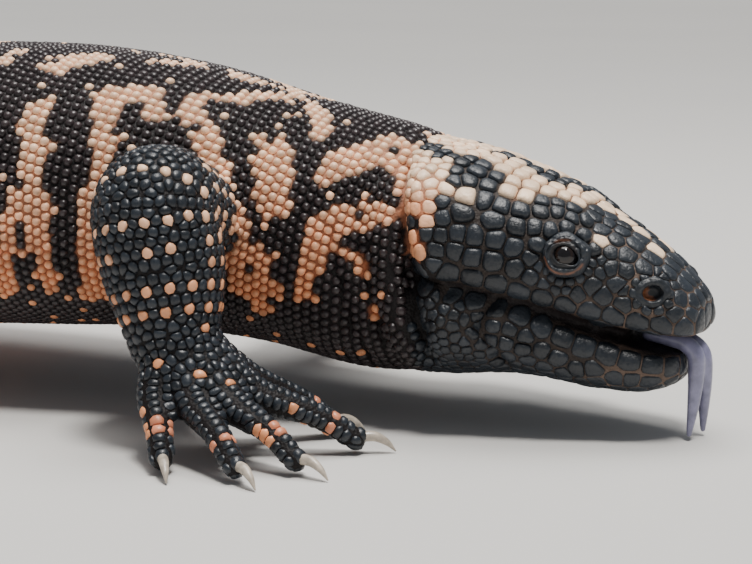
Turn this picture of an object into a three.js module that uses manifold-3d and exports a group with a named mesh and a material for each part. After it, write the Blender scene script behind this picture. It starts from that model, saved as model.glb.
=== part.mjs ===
// A life-size gila monster, standing with its head low and its tongue out.
// Millimetres, +Z up, floor at z = 0. The head points along +X and the near
// side, the animal's right, is -Y. The whole group is moved at the end so that
// the origin is under the middle of the animal.
import * as THREE from 'three';
import Module from 'manifold-3d';

const wasm = await Module();
wasm.setup();

// Driving dimensions
const GAP = 0.3; // clearance between neighbouring pieces
const HEAD_LENGTH = 60; // snout tip to the back of the jaw
const HEAD_YAW = THREE.MathUtils.degToRad(-9); // the head turns a little to its right
const SNOUT = new THREE.Vector3(101.5, -14, 0);
const EYE_RADIUS = 3.4;
const EYE_BACK = 26.6; // from the snout tip
const EYE_HEIGHT = 40.0;
const EYE_INSET = 2.1; // how far the eye's centre lies inside the cheek
const LID_RADIUS = 4.3;
const LID_THICK = 1.15;
const NOSTRIL = { back: 8.9, height: 33.0, radius: 1.7 };
const EAR = { back: 56.5, height: 43, radius: 2.4, tall: 2.2 };
const CLAW_LENGTH = 7;
const CLAW_RADIUS = 1.3;
const FINGER_RADIUS = 3.2;
const TRUNK_SIDES = 18;
const HEAD_SIDES = 20;
const PLATE = { spacing: 8.2, radius: 3.7, height: 1.0, sides: 6 }; // bony scales of the head
const LIMB_SIDES = 12;
const FINGER_SIDES = 7;
const TIP_HEIGHT = 2.5; // middle of each digit's end, so that the floor trims its sole flat

// Trunk stations, nose to tail: x, y, z of the middle, half width, half height
const TRUNK = [
  [43.0, -4.9, 35.8, 24.2, 25.2],
  [30.0, -2.8, 37.0, 26.0, 27.4],
  [8.0, 0.0, 41.5, 31.5, 27.6],
  [-20.0, 2.0, 46.2, 36.5, 30.2],
  [-50.0, 5.0, 47.4, 41.0, 32.4],
  [-90.0, 9.0, 46.0, 44.5, 32.8],
  [-130.0, 8.0, 43.6, 44.0, 30.8],
  [-165.0, 1.0, 41.2, 38.5, 28.0],
  [-195.0, -6.0, 37.6, 30.5, 24.6],
  [-222.0, -11.0, 32.4, 24.5, 22.0],
  [-250.0, -13.0, 26.0, 22.5, 21.0],
  [-280.0, -9.0, 20.6, 21.5, 20.2],
  [-307.0, 3.0, 17.9, 19.2, 18.4],
  [-328.0, 21.0, 15.0, 15.8, 15.5],
  [-341.0, 40.0, 11.2, 11.4, 11.7],
  [-347.0, 56.0, 6.6, 6.8, 7.1],
  [-348.5, 64.0, 3.4, 3.0, 3.2],
];
// Where the trunk is parted, as station numbers
const PARTS = {
  neck: [0, 2],
  torso_front: [2, 4],
  torso_middle: [4, 6],
  torso_rear: [6, 8.5],
  tail_base: [8.5, 11],
  tail_middle: [11, 13],
  tail_tip: [13, 16],
};
const STEPS_PER_STATION = 3;

// Upper head by distance back from the snout: half width, lip height, crown height
const UPPER_HEAD = [
  [0, 3.2, 24.2, 28.6],
  [0.8, 7.0, 23.1, 31.0],
  [2.6, 9.6, 22.7, 33.4],
  [6, 11.9, 22.9, 36.6],
  [10.7, 13.4, 23.5, 40.6],
  [16, 15.0, 24.3, 44.4],
  [22, 17.2, 25.8, 47.6],
  [28, 19.4, 27.9, 51.4],
  [36, 22.0, 30.2, 54.4],
  [44, 24.8, 32.2, 57.0],
  [52, 26.2, 34.0, 59.6],
  [60, 24.9, 35.2, 61.4],
];
// Lower jaw: half width, underside height, lip height
const LOWER_JAW = [
  [4.2, 3.4, 14.8, 18.2],
  [5.2, 7.2, 12.6, 19.0],
  [7.5, 9.8, 11.0, 19.4],
  [13, 12.8, 9.4, 20.6],
  [20, 15.2, 9.5, 22.8],
  [26, 17.4, 10.2, 25.0],
  [32, 19.4, 11.2, 27.5],
  [39, 21.8, 11.8, 30.2],
  [47, 24.2, 11.2, 32.3],
  [53, 25.2, 10.4, 33.7],
  [60, 24.6, 10.2, 34.9],
];

// A smooth curve through rows of [key, value, value, ...]
function through(rows, key) {
  const last = rows.length - 1;
  let i = 0;
  while (i < last - 1 && key > rows[i + 1][0]) i += 1;
  const span = rows[i + 1][0] - rows[i][0];
  const t = THREE.MathUtils.clamp((key - rows[i][0]) / span, 0, 1);
  const slope = (k, c) => {
    const a = rows[Math.max(k - 1, 0)];
    const b = rows[Math.min(k + 1, last)];
    return (b[c] - a[c]) / (b[0] - a[0]);
  };
  return rows[i].slice(1).map((value, k) => {
    const c = k + 1;
    const rise = rows[i + 1][c] - value;
    const m0 = slope(i, c) * span;
    const m1 = slope(i + 1, c) * span;
    return value + t * m0 + t * t * (3 * rise - 2 * m0 - m1) + t ** 3 * (m0 + m1 - 2 * rise);
  });
}

// A superellipse coordinate: n = 2 is round, larger is squarer
const squared = (value, n) => Math.sign(value) * Math.abs(value) ** (2 / n);

// Turns rings of points into one closed solid, with a fan over each end
function solidFromRings(rings) {
  const sides = rings[0].length;
  const mean = (ring) => ring.reduce((sum, p) => sum.add(p), new THREE.Vector3()).divideScalar(sides);
  const points = [...rings.flat(), mean(rings[0]), mean(rings.at(-1))];
  const faces = [];
  for (let r = 0; r < rings.length - 1; r += 1) {
    for (let k = 0; k < sides; k += 1) {
      const a = r * sides + k;
      const b = r * sides + ((k + 1) % sides);
      faces.push([a, b, b + sides], [a, b + sides, a + sides]);
    }
  }
  const end = (rings.length - 1) * sides;
  for (let k = 0; k < sides; k += 1) {
    const next = (k + 1) % sides;
    faces.push([points.length - 2, next, k], [points.length - 1, end + k, end + next]);
  }
  let volume = 0;
  for (const [a, b, c] of faces) {
    volume += points[a].dot(new THREE.Vector3().crossVectors(points[b], points[c]));
  }
  const outward = volume > 0 ? faces : faces.map(([a, b, c]) => [a, c, b]);
  return new wasm.Manifold(new wasm.Mesh({
    numProp: 3,
    vertProperties: new Float32Array(points.flatMap((p) => p.toArray())),
    triVerts: new Uint32Array(outward.flat()),
  }));
}

// A three.js geometry as a solid, moved and turned by a matrix
function solidFromGeometry(geometry, matrix = new THREE.Matrix4()) {
  const source = geometry.index ? geometry.toNonIndexed() : geometry;
  source.applyMatrix4(matrix);
  const position = source.getAttribute('position');
  const seen = new Map();
  const points = [];
  const corner = [];
  for (let i = 0; i < position.count; i += 1) {
    const p = new THREE.Vector3().fromBufferAttribute(position, i);
    const key = p.toArray().map((v) => Math.round(v * 1e4)).join();
    if (!seen.has(key)) {
      seen.set(key, points.length);
      points.push(p);
    }
    corner.push(seen.get(key));
  }
  const faces = [];
  for (let i = 0; i < corner.length; i += 3) {
    const [a, b, c] = corner.slice(i, i + 3);
    if (a !== b && b !== c && c !== a) faces.push([a, b, c]);
  }
  return new wasm.Manifold(new wasm.Mesh({
    numProp: 3,
    vertProperties: new Float32Array(points.flatMap((p) => p.toArray())),
    triVerts: new Uint32Array(faces.flat()),
  }));
}

// The largest closed body of a solid that a cut has left in pieces
function largest(solid) {
  return solid.decompose().sort((a, b) => b.volume() - a.volume())[0];
}

// A round tube through knots of [point, radius], with a round cap at each end
function tube(knots, sides, steps, swell = 0) {
  const curve = new THREE.CatmullRomCurve3(knots.map(([p]) => p), false, 'centripetal');
  const rows = knots.map(([, r], i) => [i / (knots.length - 1), r]);
  const frames = curve.computeFrenetFrames(steps, false);
  const rings = [];
  const addRing = (middle, i, radius) => {
    rings.push(Array.from({ length: sides }, (_, k) => {
      const angle = (2 * Math.PI * k) / sides;
      return middle.clone()
        .addScaledVector(frames.normals[i], radius * Math.cos(angle))
        .addScaledVector(frames.binormals[i], radius * Math.sin(angle));
    }));
  };
  const cap = [0.4, 1];
  const at = (u) => through(rows, curve.getUtoTmapping(u))[0] + swell;
  cap.forEach((c) => {
    const back = at(0) * Math.sqrt(1 - c * c);
    addRing(curve.getPointAt(0).addScaledVector(frames.tangents[0], -back), 0, at(0) * c);
  });
  for (let i = 1; i < steps; i += 1) addRing(curve.getPointAt(i / steps), i, at(i / steps));
  [...cap].reverse().forEach((c) => {
    const ahead = at(1) * Math.sqrt(1 - c * c);
    addRing(curve.getPointAt(1).addScaledVector(frames.tangents[steps], ahead), steps, at(1) * c);
  });
  return solidFromRings(rings);
}

const vec = (x, y, z) => new THREE.Vector3(x, y, z);
const union = (solids) => wasm.Manifold.union(solids);
const trimmed = (solid, normal, point, keep) => solid.trimByPlane(
  normal.clone().multiplyScalar(keep).toArray(),
  normal.dot(point) * keep + GAP / 2,
);
const onFloor = (solid) => largest(solid.trimByPlane([0, 0, 1], 0));

// The trunk: flattened ovals across a smooth spine
function trunkPoint(station) {
  return through(TRUNK.map((row, i) => [i, ...row]), station);
}

function trunkFrame(station) {
  const [x, y, z] = trunkPoint(station);
  const ahead = trunkPoint(Math.max(station - 0.05, 0));
  const behind = trunkPoint(Math.min(station + 0.05, TRUNK.length - 1));
  const along = vec(ahead[0] - behind[0], ahead[1] - behind[1], ahead[2] - behind[2]).normalize();
  const side = vec(0, 0, 1).cross(along).normalize();
  return { middle: vec(x, y, z), along, side, up: along.clone().cross(side) };
}

function trunkRing(station, swell = 0) {
  const [, , , width, height] = trunkPoint(station);
  const { middle, side, up } = trunkFrame(station);
  return Array.from({ length: TRUNK_SIDES }, (_, k) => {
    const angle = (2 * Math.PI * k) / TRUNK_SIDES;
    const n = Math.sin(angle) < 0 ? 2.5 : 2.1;
    return middle.clone()
      .addScaledVector(side, (width + swell) * squared(Math.cos(angle), n))
      .addScaledVector(up, (height + swell) * squared(Math.sin(angle), n));
  });
}

function trunkPiece([start, end], swell = 0) {
  const steps = Math.ceil((end - start) * STEPS_PER_STATION);
  const rings = Array.from({ length: steps + 1 }, (_, i) => {
    const station = start + ((end - start) * i) / steps;
    return trunkRing(station, swell);
  });
  return solidFromRings(rings);
}

// The head: sections across a straight axis, upper head and jaw apart
const headAxis = vec(Math.cos(HEAD_YAW), Math.sin(HEAD_YAW), 0);
const headSide = vec(-Math.sin(HEAD_YAW), Math.cos(HEAD_YAW), 0);
const inHead = (back, side, height) => SNOUT.clone()
  .addScaledVector(headAxis, -back)
  .addScaledVector(headSide, side)
  .setZ(height);

function headPoint(rows, shape, back, angle, swell = 0) {
  const [width, low, high] = through(rows, back);
  const middle = low + (high - low) * shape.waist;
  const above = Math.sin(angle) >= 0;
  const n = above ? shape.above : shape.below;
  const reach = above ? high - middle : middle - low;
  return inHead(
    back,
    (width + swell) * squared(Math.cos(angle), n),
    middle + (reach + swell) * squared(Math.sin(angle), n),
  );
}

function headSolid(rows, shape, swell = 0) {
  const first = rows[0][0];
  const last = rows.at(-1)[0];
  const backs = rows.slice(0, 4).map(([back]) => back);
  const rounded = backs.at(-1);
  const count = 10;
  for (let i = 1; i <= count; i += 1) backs.push(rounded + ((last - rounded) * i) / count);
  const rings = backs.map((back) => Array.from({ length: HEAD_SIDES }, (_, k) => {
    const point = headPoint(rows, shape, back, (2 * Math.PI * k) / HEAD_SIDES, swell);
    return back === first ? point.addScaledVector(headAxis, swell) : point;
  }));
  return solidFromRings(rings);
}

// A low dome on the crown's surface, sunk to its middle
function plate(back, angle) {
  const step = 0.02;
  const at = (b, a) => headPoint(UPPER_HEAD, UPPER_SHAPE, b, a);
  const along = at(back + step, angle).sub(at(back - step, angle));
  const around = at(back, angle + step).sub(at(back, angle - step));
  const turned = facing(around.cross(along).normalize(), at(back, angle));
  const size = new THREE.Matrix4().makeScale(PLATE.radius, PLATE.radius, PLATE.height);
  return solidFromGeometry(new THREE.SphereGeometry(1, PLATE.sides, 4), turned.multiply(size));
}

// Staggered rows of plates from the crown to the lip on both sides
function plates(backs, keep) {
  const domes = [];
  backs.forEach((back, row) => {
    for (const sign of [-1, 1]) {
      let walked = row % 2 ? PLATE.spacing / 2 : PLATE.spacing;
      let last = headPoint(UPPER_HEAD, UPPER_SHAPE, back, Math.PI / 2);
      for (let turn = 0; turn < 180; turn += 1) {
        const angle = Math.PI / 2 + sign * THREE.MathUtils.degToRad(turn);
        const point = headPoint(UPPER_HEAD, UPPER_SHAPE, back, angle);
        walked += point.distanceTo(last);
        last = point;
        const shared = sign === 1 && turn === 0;
        if (walked >= PLATE.spacing && !shared && keep(point, back)) {
          domes.push(plate(back, angle));
        }
        if (walked >= PLATE.spacing) walked -= PLATE.spacing;
      }
    }
  });
  return domes;
}

const UPPER_SHAPE = { waist: 0.34, above: 2.35, below: 4.2 };
const JAW_SHAPE = { waist: 0.66, above: 3.6, below: 2.3 };

const eyeSide = (sign) => {
  const [width, low, high] = through(UPPER_HEAD, EYE_BACK);
  const middle = low + (high - low) * UPPER_SHAPE.waist;
  const rise = (EYE_HEIGHT - middle) / (high - middle);
  const out = width * (1 - rise ** UPPER_SHAPE.above) ** (1 / UPPER_SHAPE.above);
  return inHead(EYE_BACK, sign * (out - EYE_INSET), EYE_HEIGHT);
};
// The way each eye looks: outward, a little forward and up
const eyeLook = (sign) => headSide.clone().multiplyScalar(sign)
  .addScaledVector(headAxis, 0.22).addScaledVector(vec(0, 0, 1), 0.3).normalize();
const facing = (direction, point) => new THREE.Matrix4().compose(
  point,
  new THREE.Quaternion().setFromUnitVectors(vec(0, 0, 1), direction),
  vec(1, 1, 1),
);

function upperHead() {
  const body = headSolid(UPPER_HEAD, UPPER_SHAPE);
  const backs = Array.from({ length: 7 }, (_, row) => 5.5 + row * 7.1);
  const [nostrilSide] = through(UPPER_HEAD, NOSTRIL.back);
  const openings = [-1, 1].flatMap((sign) => [
    [eyeSide(sign), LID_RADIUS + 4],
    [inHead(NOSTRIL.back, sign * nostrilSide, NOSTRIL.height), NOSTRIL.radius + 2.4],
  ]);
  const scales = plates(backs, (point, back) => {
    const lip = through(UPPER_HEAD, back)[1];
    const clear = openings.every(([middle, reach]) => point.distanceTo(middle) > reach);
    return clear && point.z > lip + PLATE.radius + GAP;
  });
  const lids = [-1, 1].map((sign) => solidFromGeometry(
    new THREE.TorusGeometry(LID_RADIUS, LID_THICK, 5, 14),
    facing(eyeLook(sign), eyeSide(sign).addScaledVector(eyeLook(sign), EYE_RADIUS - 1.5)),
  ));
  const sockets = [-1, 1].map((sign) => solidFromGeometry(
    new THREE.SphereGeometry(EYE_RADIUS + 2 * GAP, 12, 8),
    facing(eyeLook(sign), eyeSide(sign)),
  ));
  const nostrils = [-1, 1].map((sign) => {
    const mouth = inHead(NOSTRIL.back, sign * (nostrilSide - 0.4), NOSTRIL.height);
    return solidFromGeometry(new THREE.SphereGeometry(NOSTRIL.radius, 8, 6), facing(headAxis, mouth));
  });
  const ears = [-1, 1].map((sign) => {
    const [width] = through(UPPER_HEAD, EAR.back);
    const matrix = new THREE.Matrix4().compose(
      inHead(EAR.back, sign * (width + 0.2), EAR.height),
      new THREE.Quaternion(),
      vec(0.7, 1, EAR.tall),
    );
    return solidFromGeometry(new THREE.SphereGeometry(EAR.radius, 8, 6), matrix);
  });
  return largest(union([body, ...scales, ...lids]).subtract(union([...sockets, ...nostrils, ...ears])));
}

const eyeBall = (sign) => solidFromGeometry(
  new THREE.SphereGeometry(EYE_RADIUS, 12, 8),
  facing(eyeLook(sign), eyeSide(sign)),
);

// The tongue: a flat stem out of the mouth that hangs in front of the chin and forks
function tongue() {
  const fork = [-1, 1].map((sign) => tube([
    [inHead(13, sign * 0.9, 21.9), 1.2],
    [inHead(8, sign * 1.1, 21.3), 1.4],
    [inHead(4.6, sign * 1.2, 20.6), 1.5],
    [inHead(1.8, sign * 1.2, 18.2), 1.5],
    [inHead(1.1, sign * 1.25, 13.5), 1.4],
    [inHead(1.2, sign * 1.9, 7.5), 1.1],
    [inHead(1.6, sign * 2.8, 1.4), 0.6],
  ], FINGER_SIDES, 9));
  const mouth = union([headSolid(UPPER_HEAD, UPPER_SHAPE, GAP), headSolid(LOWER_JAW, JAW_SHAPE, GAP)]);
  return largest(union(fork).subtract(mouth));
}

// Each limb: joints in the animal's frame, radii, and where the digits end
const LIMBS = {
  front_right: {
    root: vec(-7, -20, 43),
    bend: vec(-10, -46, 49.5),
    wrist: vec(-4.5, -51, 24),
    radii: [12.0, 13.4, 10.0],
    digits: [
      [vec(10, -45, 14), vec(24, -33, TIP_HEIGHT)],
      [vec(13, -52, 13), vec(33, -45, TIP_HEIGHT)],
      [vec(11, -59, 12), vec(26, -65, TIP_HEIGHT)],
      [vec(4, -62, 12), vec(16, -73, TIP_HEIGHT)],
      [vec(-5, -61, 13), vec(0, -71, TIP_HEIGHT)],
    ],
  },
  front_left: {
    root: vec(-2, 20, 42),
    bend: vec(-1, 48, 47),
    wrist: vec(12, 54, 18),
    radii: [12.0, 13.4, 10.0],
    digits: [
      [vec(27, 49, 8), vec(40, 43, TIP_HEIGHT)],
      [vec(30, 54, 7.5), vec(49, 54, TIP_HEIGHT)],
      [vec(28, 60, 7.5), vec(46, 66, TIP_HEIGHT)],
      [vec(22, 64, 7.5), vec(35, 75, TIP_HEIGHT)],
      [vec(14, 65, 8), vec(18, 77, TIP_HEIGHT)],
    ],
  },
  hind_right: {
    root: vec(-192, -22, 36),
    bend: vec(-176, -55, 38),
    wrist: vec(-196, -70, 15),
    radii: [15.5, 13.4, 9.4],
    digits: [
      [vec(-179, -69, 7.5), vec(-166, -65, TIP_HEIGHT)],
      [vec(-176, -74, 7), vec(-158, -75, TIP_HEIGHT)],
      [vec(-178, -80, 7), vec(-160, -88, TIP_HEIGHT)],
      [vec(-184, -84, 7), vec(-170, -98, TIP_HEIGHT)],
      [vec(-193, -84, 7.5), vec(-191, -97, TIP_HEIGHT)],
    ],
  },
  hind_left: {
    root: vec(-190, 12, 36),
    bend: vec(-190, 48, 37),
    wrist: vec(-216, 60, 15),
    radii: [15.5, 13.4, 9.4],
    digits: [
      [vec(-199, 61, 7.5), vec(-186, 57, TIP_HEIGHT)],
      [vec(-197, 66, 7), vec(-178, 67, TIP_HEIGHT)],
      [vec(-199, 72, 7), vec(-181, 80, TIP_HEIGHT)],
      [vec(-205, 76, 7), vec(-191, 90, TIP_HEIGHT)],
      [vec(-214, 76, 7.5), vec(-212, 89, TIP_HEIGHT)],
    ],
  },
};

// A point part of the way from one point to another
const between = (a, b, t, lift = 0) => a.clone().lerp(b, t).add(vec(0, 0, lift));

function hand({ wrist, digits, bend }, swell = 0) {
  const heel = between(wrist, bend, 0.12);
  const rays = digits.map(([knuckle, tip]) => tube([
    [heel, 7.4],
    [between(wrist, knuckle, 0.45), 5.6],
    [knuckle, FINGER_RADIUS + 0.9],
    [between(knuckle, tip, 0.55, 1.2), FINGER_RADIUS],
    [tip, FINGER_RADIUS - 0.2],
  ], FINGER_SIDES, 7, swell));
  return union(rays);
}

function claw(limb, [knuckle, tip]) {
  const way = tip.clone().sub(knuckle).setZ(0).normalize();
  const solid = tube([
    [tip.clone().addScaledVector(way, -0.5).setZ(3.9), CLAW_RADIUS],
    [tip.clone().addScaledVector(way, CLAW_LENGTH * 0.55).setZ(3.7), CLAW_RADIUS],
    [tip.clone().addScaledVector(way, CLAW_LENGTH * 0.95).setZ(2.1), CLAW_RADIUS * 0.6],
    [tip.clone().addScaledVector(way, CLAW_LENGTH * 1.15).setZ(0.5), CLAW_RADIUS * 0.2],
  ], 6, 4);
  return largest(solid.subtract(hand(limb, GAP)));
}

// Colours and finish of each kind of piece
const finish = (color, roughness) => new THREE.MeshStandardMaterial({ color, roughness, metalness: 0 });
const MATERIALS = {
  hide: finish('#3a2f2c', 0.5),
  face: finish('#20242a', 0.45),
  claw: finish('#b9ab98', 0.4),
  eye: finish('#0b0c10', 0.08),
  tongue: finish('#4d4a6b', 0.3),
};

const animal = new THREE.Group();

function add(name, solid, material) {
  const { vertProperties, triVerts, numProp } = solid.getMesh();
  const position = new Float32Array((vertProperties.length / numProp) * 3);
  for (let i = 0; i < position.length; i += 1) {
    position[i] = vertProperties[Math.floor(i / 3) * numProp + (i % 3)];
  }
  const geometry = new THREE.BufferGeometry();
  geometry.setAttribute('position', new THREE.BufferAttribute(position, 3));
  geometry.setIndex(new THREE.BufferAttribute(new Uint32Array(triVerts), 1));
  geometry.computeVertexNormals();
  const mesh = new THREE.Mesh(geometry, MATERIALS[material]);
  mesh.name = name;
  animal.add(mesh);
}

function buildTrunk() {
  for (const [name, [start, end]] of Object.entries(PARTS)) {
    const from = trunkFrame(start);
    const to = trunkFrame(end);
    let piece = trunkPiece([Math.max(start - 0.15, 0), Math.min(end + 0.15, TRUNK.length - 1)]);
    if (name === 'neck') piece = trunkPiece([start, end + 0.15]);
    else piece = trimmed(piece, from.along, from.middle, -1);
    if (name !== 'tail_tip') piece = trimmed(piece, to.along, to.middle, 1);
    add(name, onFloor(piece), 'hide');
  }
}

function buildHead() {
  const behind = SNOUT.clone().addScaledVector(headAxis, -HEAD_LENGTH);
  const neckFace = trunkFrame(0);
  const clearOfNeck = (solid) => trimmed(
    trimmed(solid, headAxis, behind, 1),
    neckFace.along,
    neckFace.middle.clone().addScaledVector(neckFace.along, GAP / 2),
    1,
  );
  add('head', largest(clearOfNeck(upperHead())), 'face');
  const roof = headSolid(UPPER_HEAD, UPPER_SHAPE, GAP);
  const jaw = clearOfNeck(headSolid(LOWER_JAW, JAW_SHAPE)).subtract(roof);
  add('jaw', largest(jaw), 'face');
  add('eye_right', eyeBall(-1), 'eye');
  add('eye_left', eyeBall(1), 'eye');
  add('tongue', tongue(), 'tongue');
}

function buildLimbs() {
  const flank = trunkPiece([0, 11], GAP);
  for (const [name, limb] of Object.entries(LIMBS)) {
    const { root, bend, wrist, radii, digits } = limb;
    const elbow = [bend, radii[1]];
    const halfway = [between(bend, wrist, 0.5), radii[1] * 0.97];
    const bones = union([
      tube([[root, radii[0]], elbow], LIMB_SIDES, 5),
      tube([elbow, halfway, [wrist, radii[2]]], LIMB_SIDES, 7),
    ]).subtract(flank);
    const upperWay = bend.clone().sub(root).normalize();
    const lowerWay = wrist.clone().sub(bend).normalize();
    const elbowWay = upperWay.clone().add(lowerWay).normalize();
    const palmWay = digits[2][0].clone().sub(wrist).normalize();
    const wristWay = palmWay.add(lowerWay).normalize();
    const lower = trimmed(trimmed(bones, elbowWay, bend, 1), wristWay, wrist, -1);
    const upper = trimmed(bones, elbowWay, bend, -1);
    add(`${name}_upper`, largest(upper), 'hide');
    add(`${name}_lower`, largest(lower), 'hide');
    const palm = trimmed(hand(limb), wristWay, wrist, 1).subtract(flank);
    add(`${name}_foot`, onFloor(palm), 'hide');
    digits.forEach((digit, i) => add(`${name}_claw_${i + 1}`, onFloor(claw(limb, digit)), 'claw'));
  }
}

buildTrunk();
buildHead();
buildLimbs();

// The origin goes on the floor under the middle of the animal
const box = new THREE.Box3().setFromObject(animal);
const middle = box.getCenter(new THREE.Vector3());
animal.position.set(-middle.x, -middle.y, -box.min.z);
animal.updateMatrixWorld(true);

export default animal;
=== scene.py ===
"""A life-size gila monster: one skin, and every bead of the hide as its own small dome.

Shapes are worked out in millimetres in the animal's own coordinates, with the
floor at zero, and moved into the frame by the place of the right eye.
"""
import math
import bmesh
import bpy
import numpy as np
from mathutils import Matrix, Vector
from mathutils.bvhtree import BVHTree
from mathutils.kdtree import KDTree


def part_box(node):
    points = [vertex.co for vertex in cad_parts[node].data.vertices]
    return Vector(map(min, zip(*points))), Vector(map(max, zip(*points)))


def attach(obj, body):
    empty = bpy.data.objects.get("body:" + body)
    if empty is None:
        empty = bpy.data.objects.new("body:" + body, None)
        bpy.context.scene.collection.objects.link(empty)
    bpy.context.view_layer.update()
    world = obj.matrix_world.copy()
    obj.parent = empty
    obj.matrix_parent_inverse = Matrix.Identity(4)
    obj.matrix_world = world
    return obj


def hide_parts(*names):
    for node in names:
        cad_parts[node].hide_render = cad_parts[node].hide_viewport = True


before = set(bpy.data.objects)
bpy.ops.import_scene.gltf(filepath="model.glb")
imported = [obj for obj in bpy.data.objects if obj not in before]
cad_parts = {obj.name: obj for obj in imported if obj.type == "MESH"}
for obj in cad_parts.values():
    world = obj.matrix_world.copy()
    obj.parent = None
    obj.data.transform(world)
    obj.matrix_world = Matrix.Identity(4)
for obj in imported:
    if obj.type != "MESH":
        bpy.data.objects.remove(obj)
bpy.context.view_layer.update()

# Driving sizes, in millimetres
MM = 0.001
HEAD_YAW = math.radians(-9)
SNOUT = np.array([101.5, -14.0, 0.0])
EYE_RADIUS = 3.4
EYE_BACK = 26.6
EYE_HEIGHT = 40.0
EYE_INSET = 2.1
TIP_HEIGHT = 2.5
FINGER_RADIUS = 3.2
CLAW_LENGTH = 7.0
COAT_DEPTH = 0.65  # how far the skin lies inside the solids, under the beads
DIGIT_DEPTH = COAT_DEPTH * 0.8
HEAD_DEPTH = 0.45  # the same under the head's plates
SKIN_VOXEL = 1.25
BEAD = 2.2  # spacing of the beads on back and flanks
TAIL_BEAD = 2.7
LIMB_SPACING = 2.4
HAND_SPACING = 2.5
SCUTE = (1.55, 4.0)  # scutes of the digits: along the digit, and across it
DIGIT_STEPS = 120  # places along a digit's path, and at which of them its scutes start and end
SCUTES_START = (52, 58, 58, 58, 52)
SCUTES_END = 112
CLAW_PLATE_SIZE = 3.9
LABIAL = 4.9  # spacing of the plates along the lips
BROW_SIZE = 3.7
GRANULE_SIZE = 2.2
NOSTRIL_BACK = 9.0
NOSTRIL_HEIGHT = 32.8
EYE_CLEAR = 4.7  # plates stay this far from the eye's axis
NOSTRIL_CLEAR = 3.1
ROW = 0.9  # rows of beads are this share of their spacing apart
HEAD_ROW = 0.88
CROWDED = 0.34  # of the sum of two roots' spacings: nearer ones can't both stay
BURIED = 2.6  # a root that moves farther than this to the skin was inside another part
LOWEST_ROOT = 0.9  # no bead grows on the soles
SIDES = np.array([-1.0, 1.0])
# Folds of the sides of head and neck: from and to as (distance behind the snout, height), depth, half width
FOLDS = (
    (62.8, 58, 56, 16, 3.4, 1.6), (60.2, 49, 58, 37, 1.1, 1.0), (50, 31, 57, 20, 1.1, 1.2),
    (70, 40, 64, 12, 1.2, 1.6), (57.6, 55, 51.5, 26, -1.5, 2.4), (66.5, 52, 60.5, 14, -0.8, 2.2),
    (40, 30.5, 44, 25, 1.3, 1.1), (44, 25, 39.5, 16, 1.3, 1.1), (76, 44, 71, 14, 1.0, 1.5),
)

# Trunk stations, nose to tail: x, y, z of the middle, half width, half height
TRUNK = np.array([
    [43.0, -4.9, 35.8, 24.2, 25.2],
    [30.0, -2.8, 37.0, 26.0, 27.4],
    [8.0, 0.0, 41.5, 31.5, 27.6],
    [-20.0, 2.0, 46.2, 36.5, 30.2],
    [-50.0, 5.0, 47.4, 41.0, 32.4],
    [-90.0, 9.0, 46.0, 44.5, 32.8],
    [-130.0, 8.0, 43.6, 44.0, 30.8],
    [-165.0, 1.0, 41.2, 38.5, 28.0],
    [-195.0, -6.0, 37.6, 30.5, 24.6],
    [-222.0, -11.0, 32.4, 24.5, 22.0],
    [-250.0, -13.0, 26.0, 22.5, 21.0],
    [-280.0, -9.0, 20.6, 21.5, 20.2],
    [-307.0, 3.0, 17.9, 19.2, 18.4],
    [-328.0, 21.0, 15.0, 15.8, 15.5],
    [-341.0, 40.0, 11.2, 11.4, 11.7],
    [-347.0, 56.0, 6.6, 6.8, 7.1],
    [-348.5, 64.0, 3.4, 3.0, 3.2],
])
# Upper head by distance back from the snout: half width, lip height, crown height
UPPER_HEAD = np.array([
    [0, 3.2, 24.2, 28.6],
    [0.8, 7.0, 23.1, 31.0],
    [2.6, 9.6, 22.7, 33.4],
    [6, 11.9, 22.9, 36.6],
    [10.7, 13.4, 23.5, 40.6],
    [16, 15.0, 24.3, 44.4],
    [22, 17.2, 25.8, 47.6],
    [28, 19.4, 27.9, 51.4],
    [36, 22.0, 30.2, 54.4],
    [44, 24.8, 32.2, 57.0],
    [52, 26.2, 34.0, 59.6],
    [60, 24.9, 35.2, 61.4],
])
# Lower jaw: half width, underside height, lip height
LOWER_JAW = np.array([
    [4.2, 3.4, 14.8, 18.2],
    [5.2, 7.2, 12.6, 19.0],
    [7.5, 9.8, 11.0, 19.4],
    [13, 12.8, 9.4, 20.6],
    [20, 15.2, 9.5, 22.8],
    [26, 17.4, 10.2, 25.0],
    [32, 19.4, 11.2, 27.5],
    [39, 21.8, 11.8, 30.2],
    [47, 24.2, 11.2, 32.3],
    [53, 25.2, 10.4, 33.7],
    [60, 24.6, 10.2, 34.9],
])
# The skin's lips come nearer than the solids', by distance behind the snout
LIPS_CLOSE = np.array([[0, 0.3], [15, 0.5], [30, 1.0], [60, 1.3]])
MOUTH_CORNER = 51
UPPER_SHAPE = (0.34, 2.35, 4.2)  # height of the widest line, squareness above, squareness below
JAW_SHAPE = (0.66, 3.6, 2.3)
# Each half of the head: its rows and shape, the column of its lip, and the way to the other lip
HALVES = ((UPPER_HEAD, UPPER_SHAPE, 1, -1), (LOWER_JAW, JAW_SHAPE, 2, 1))
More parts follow.
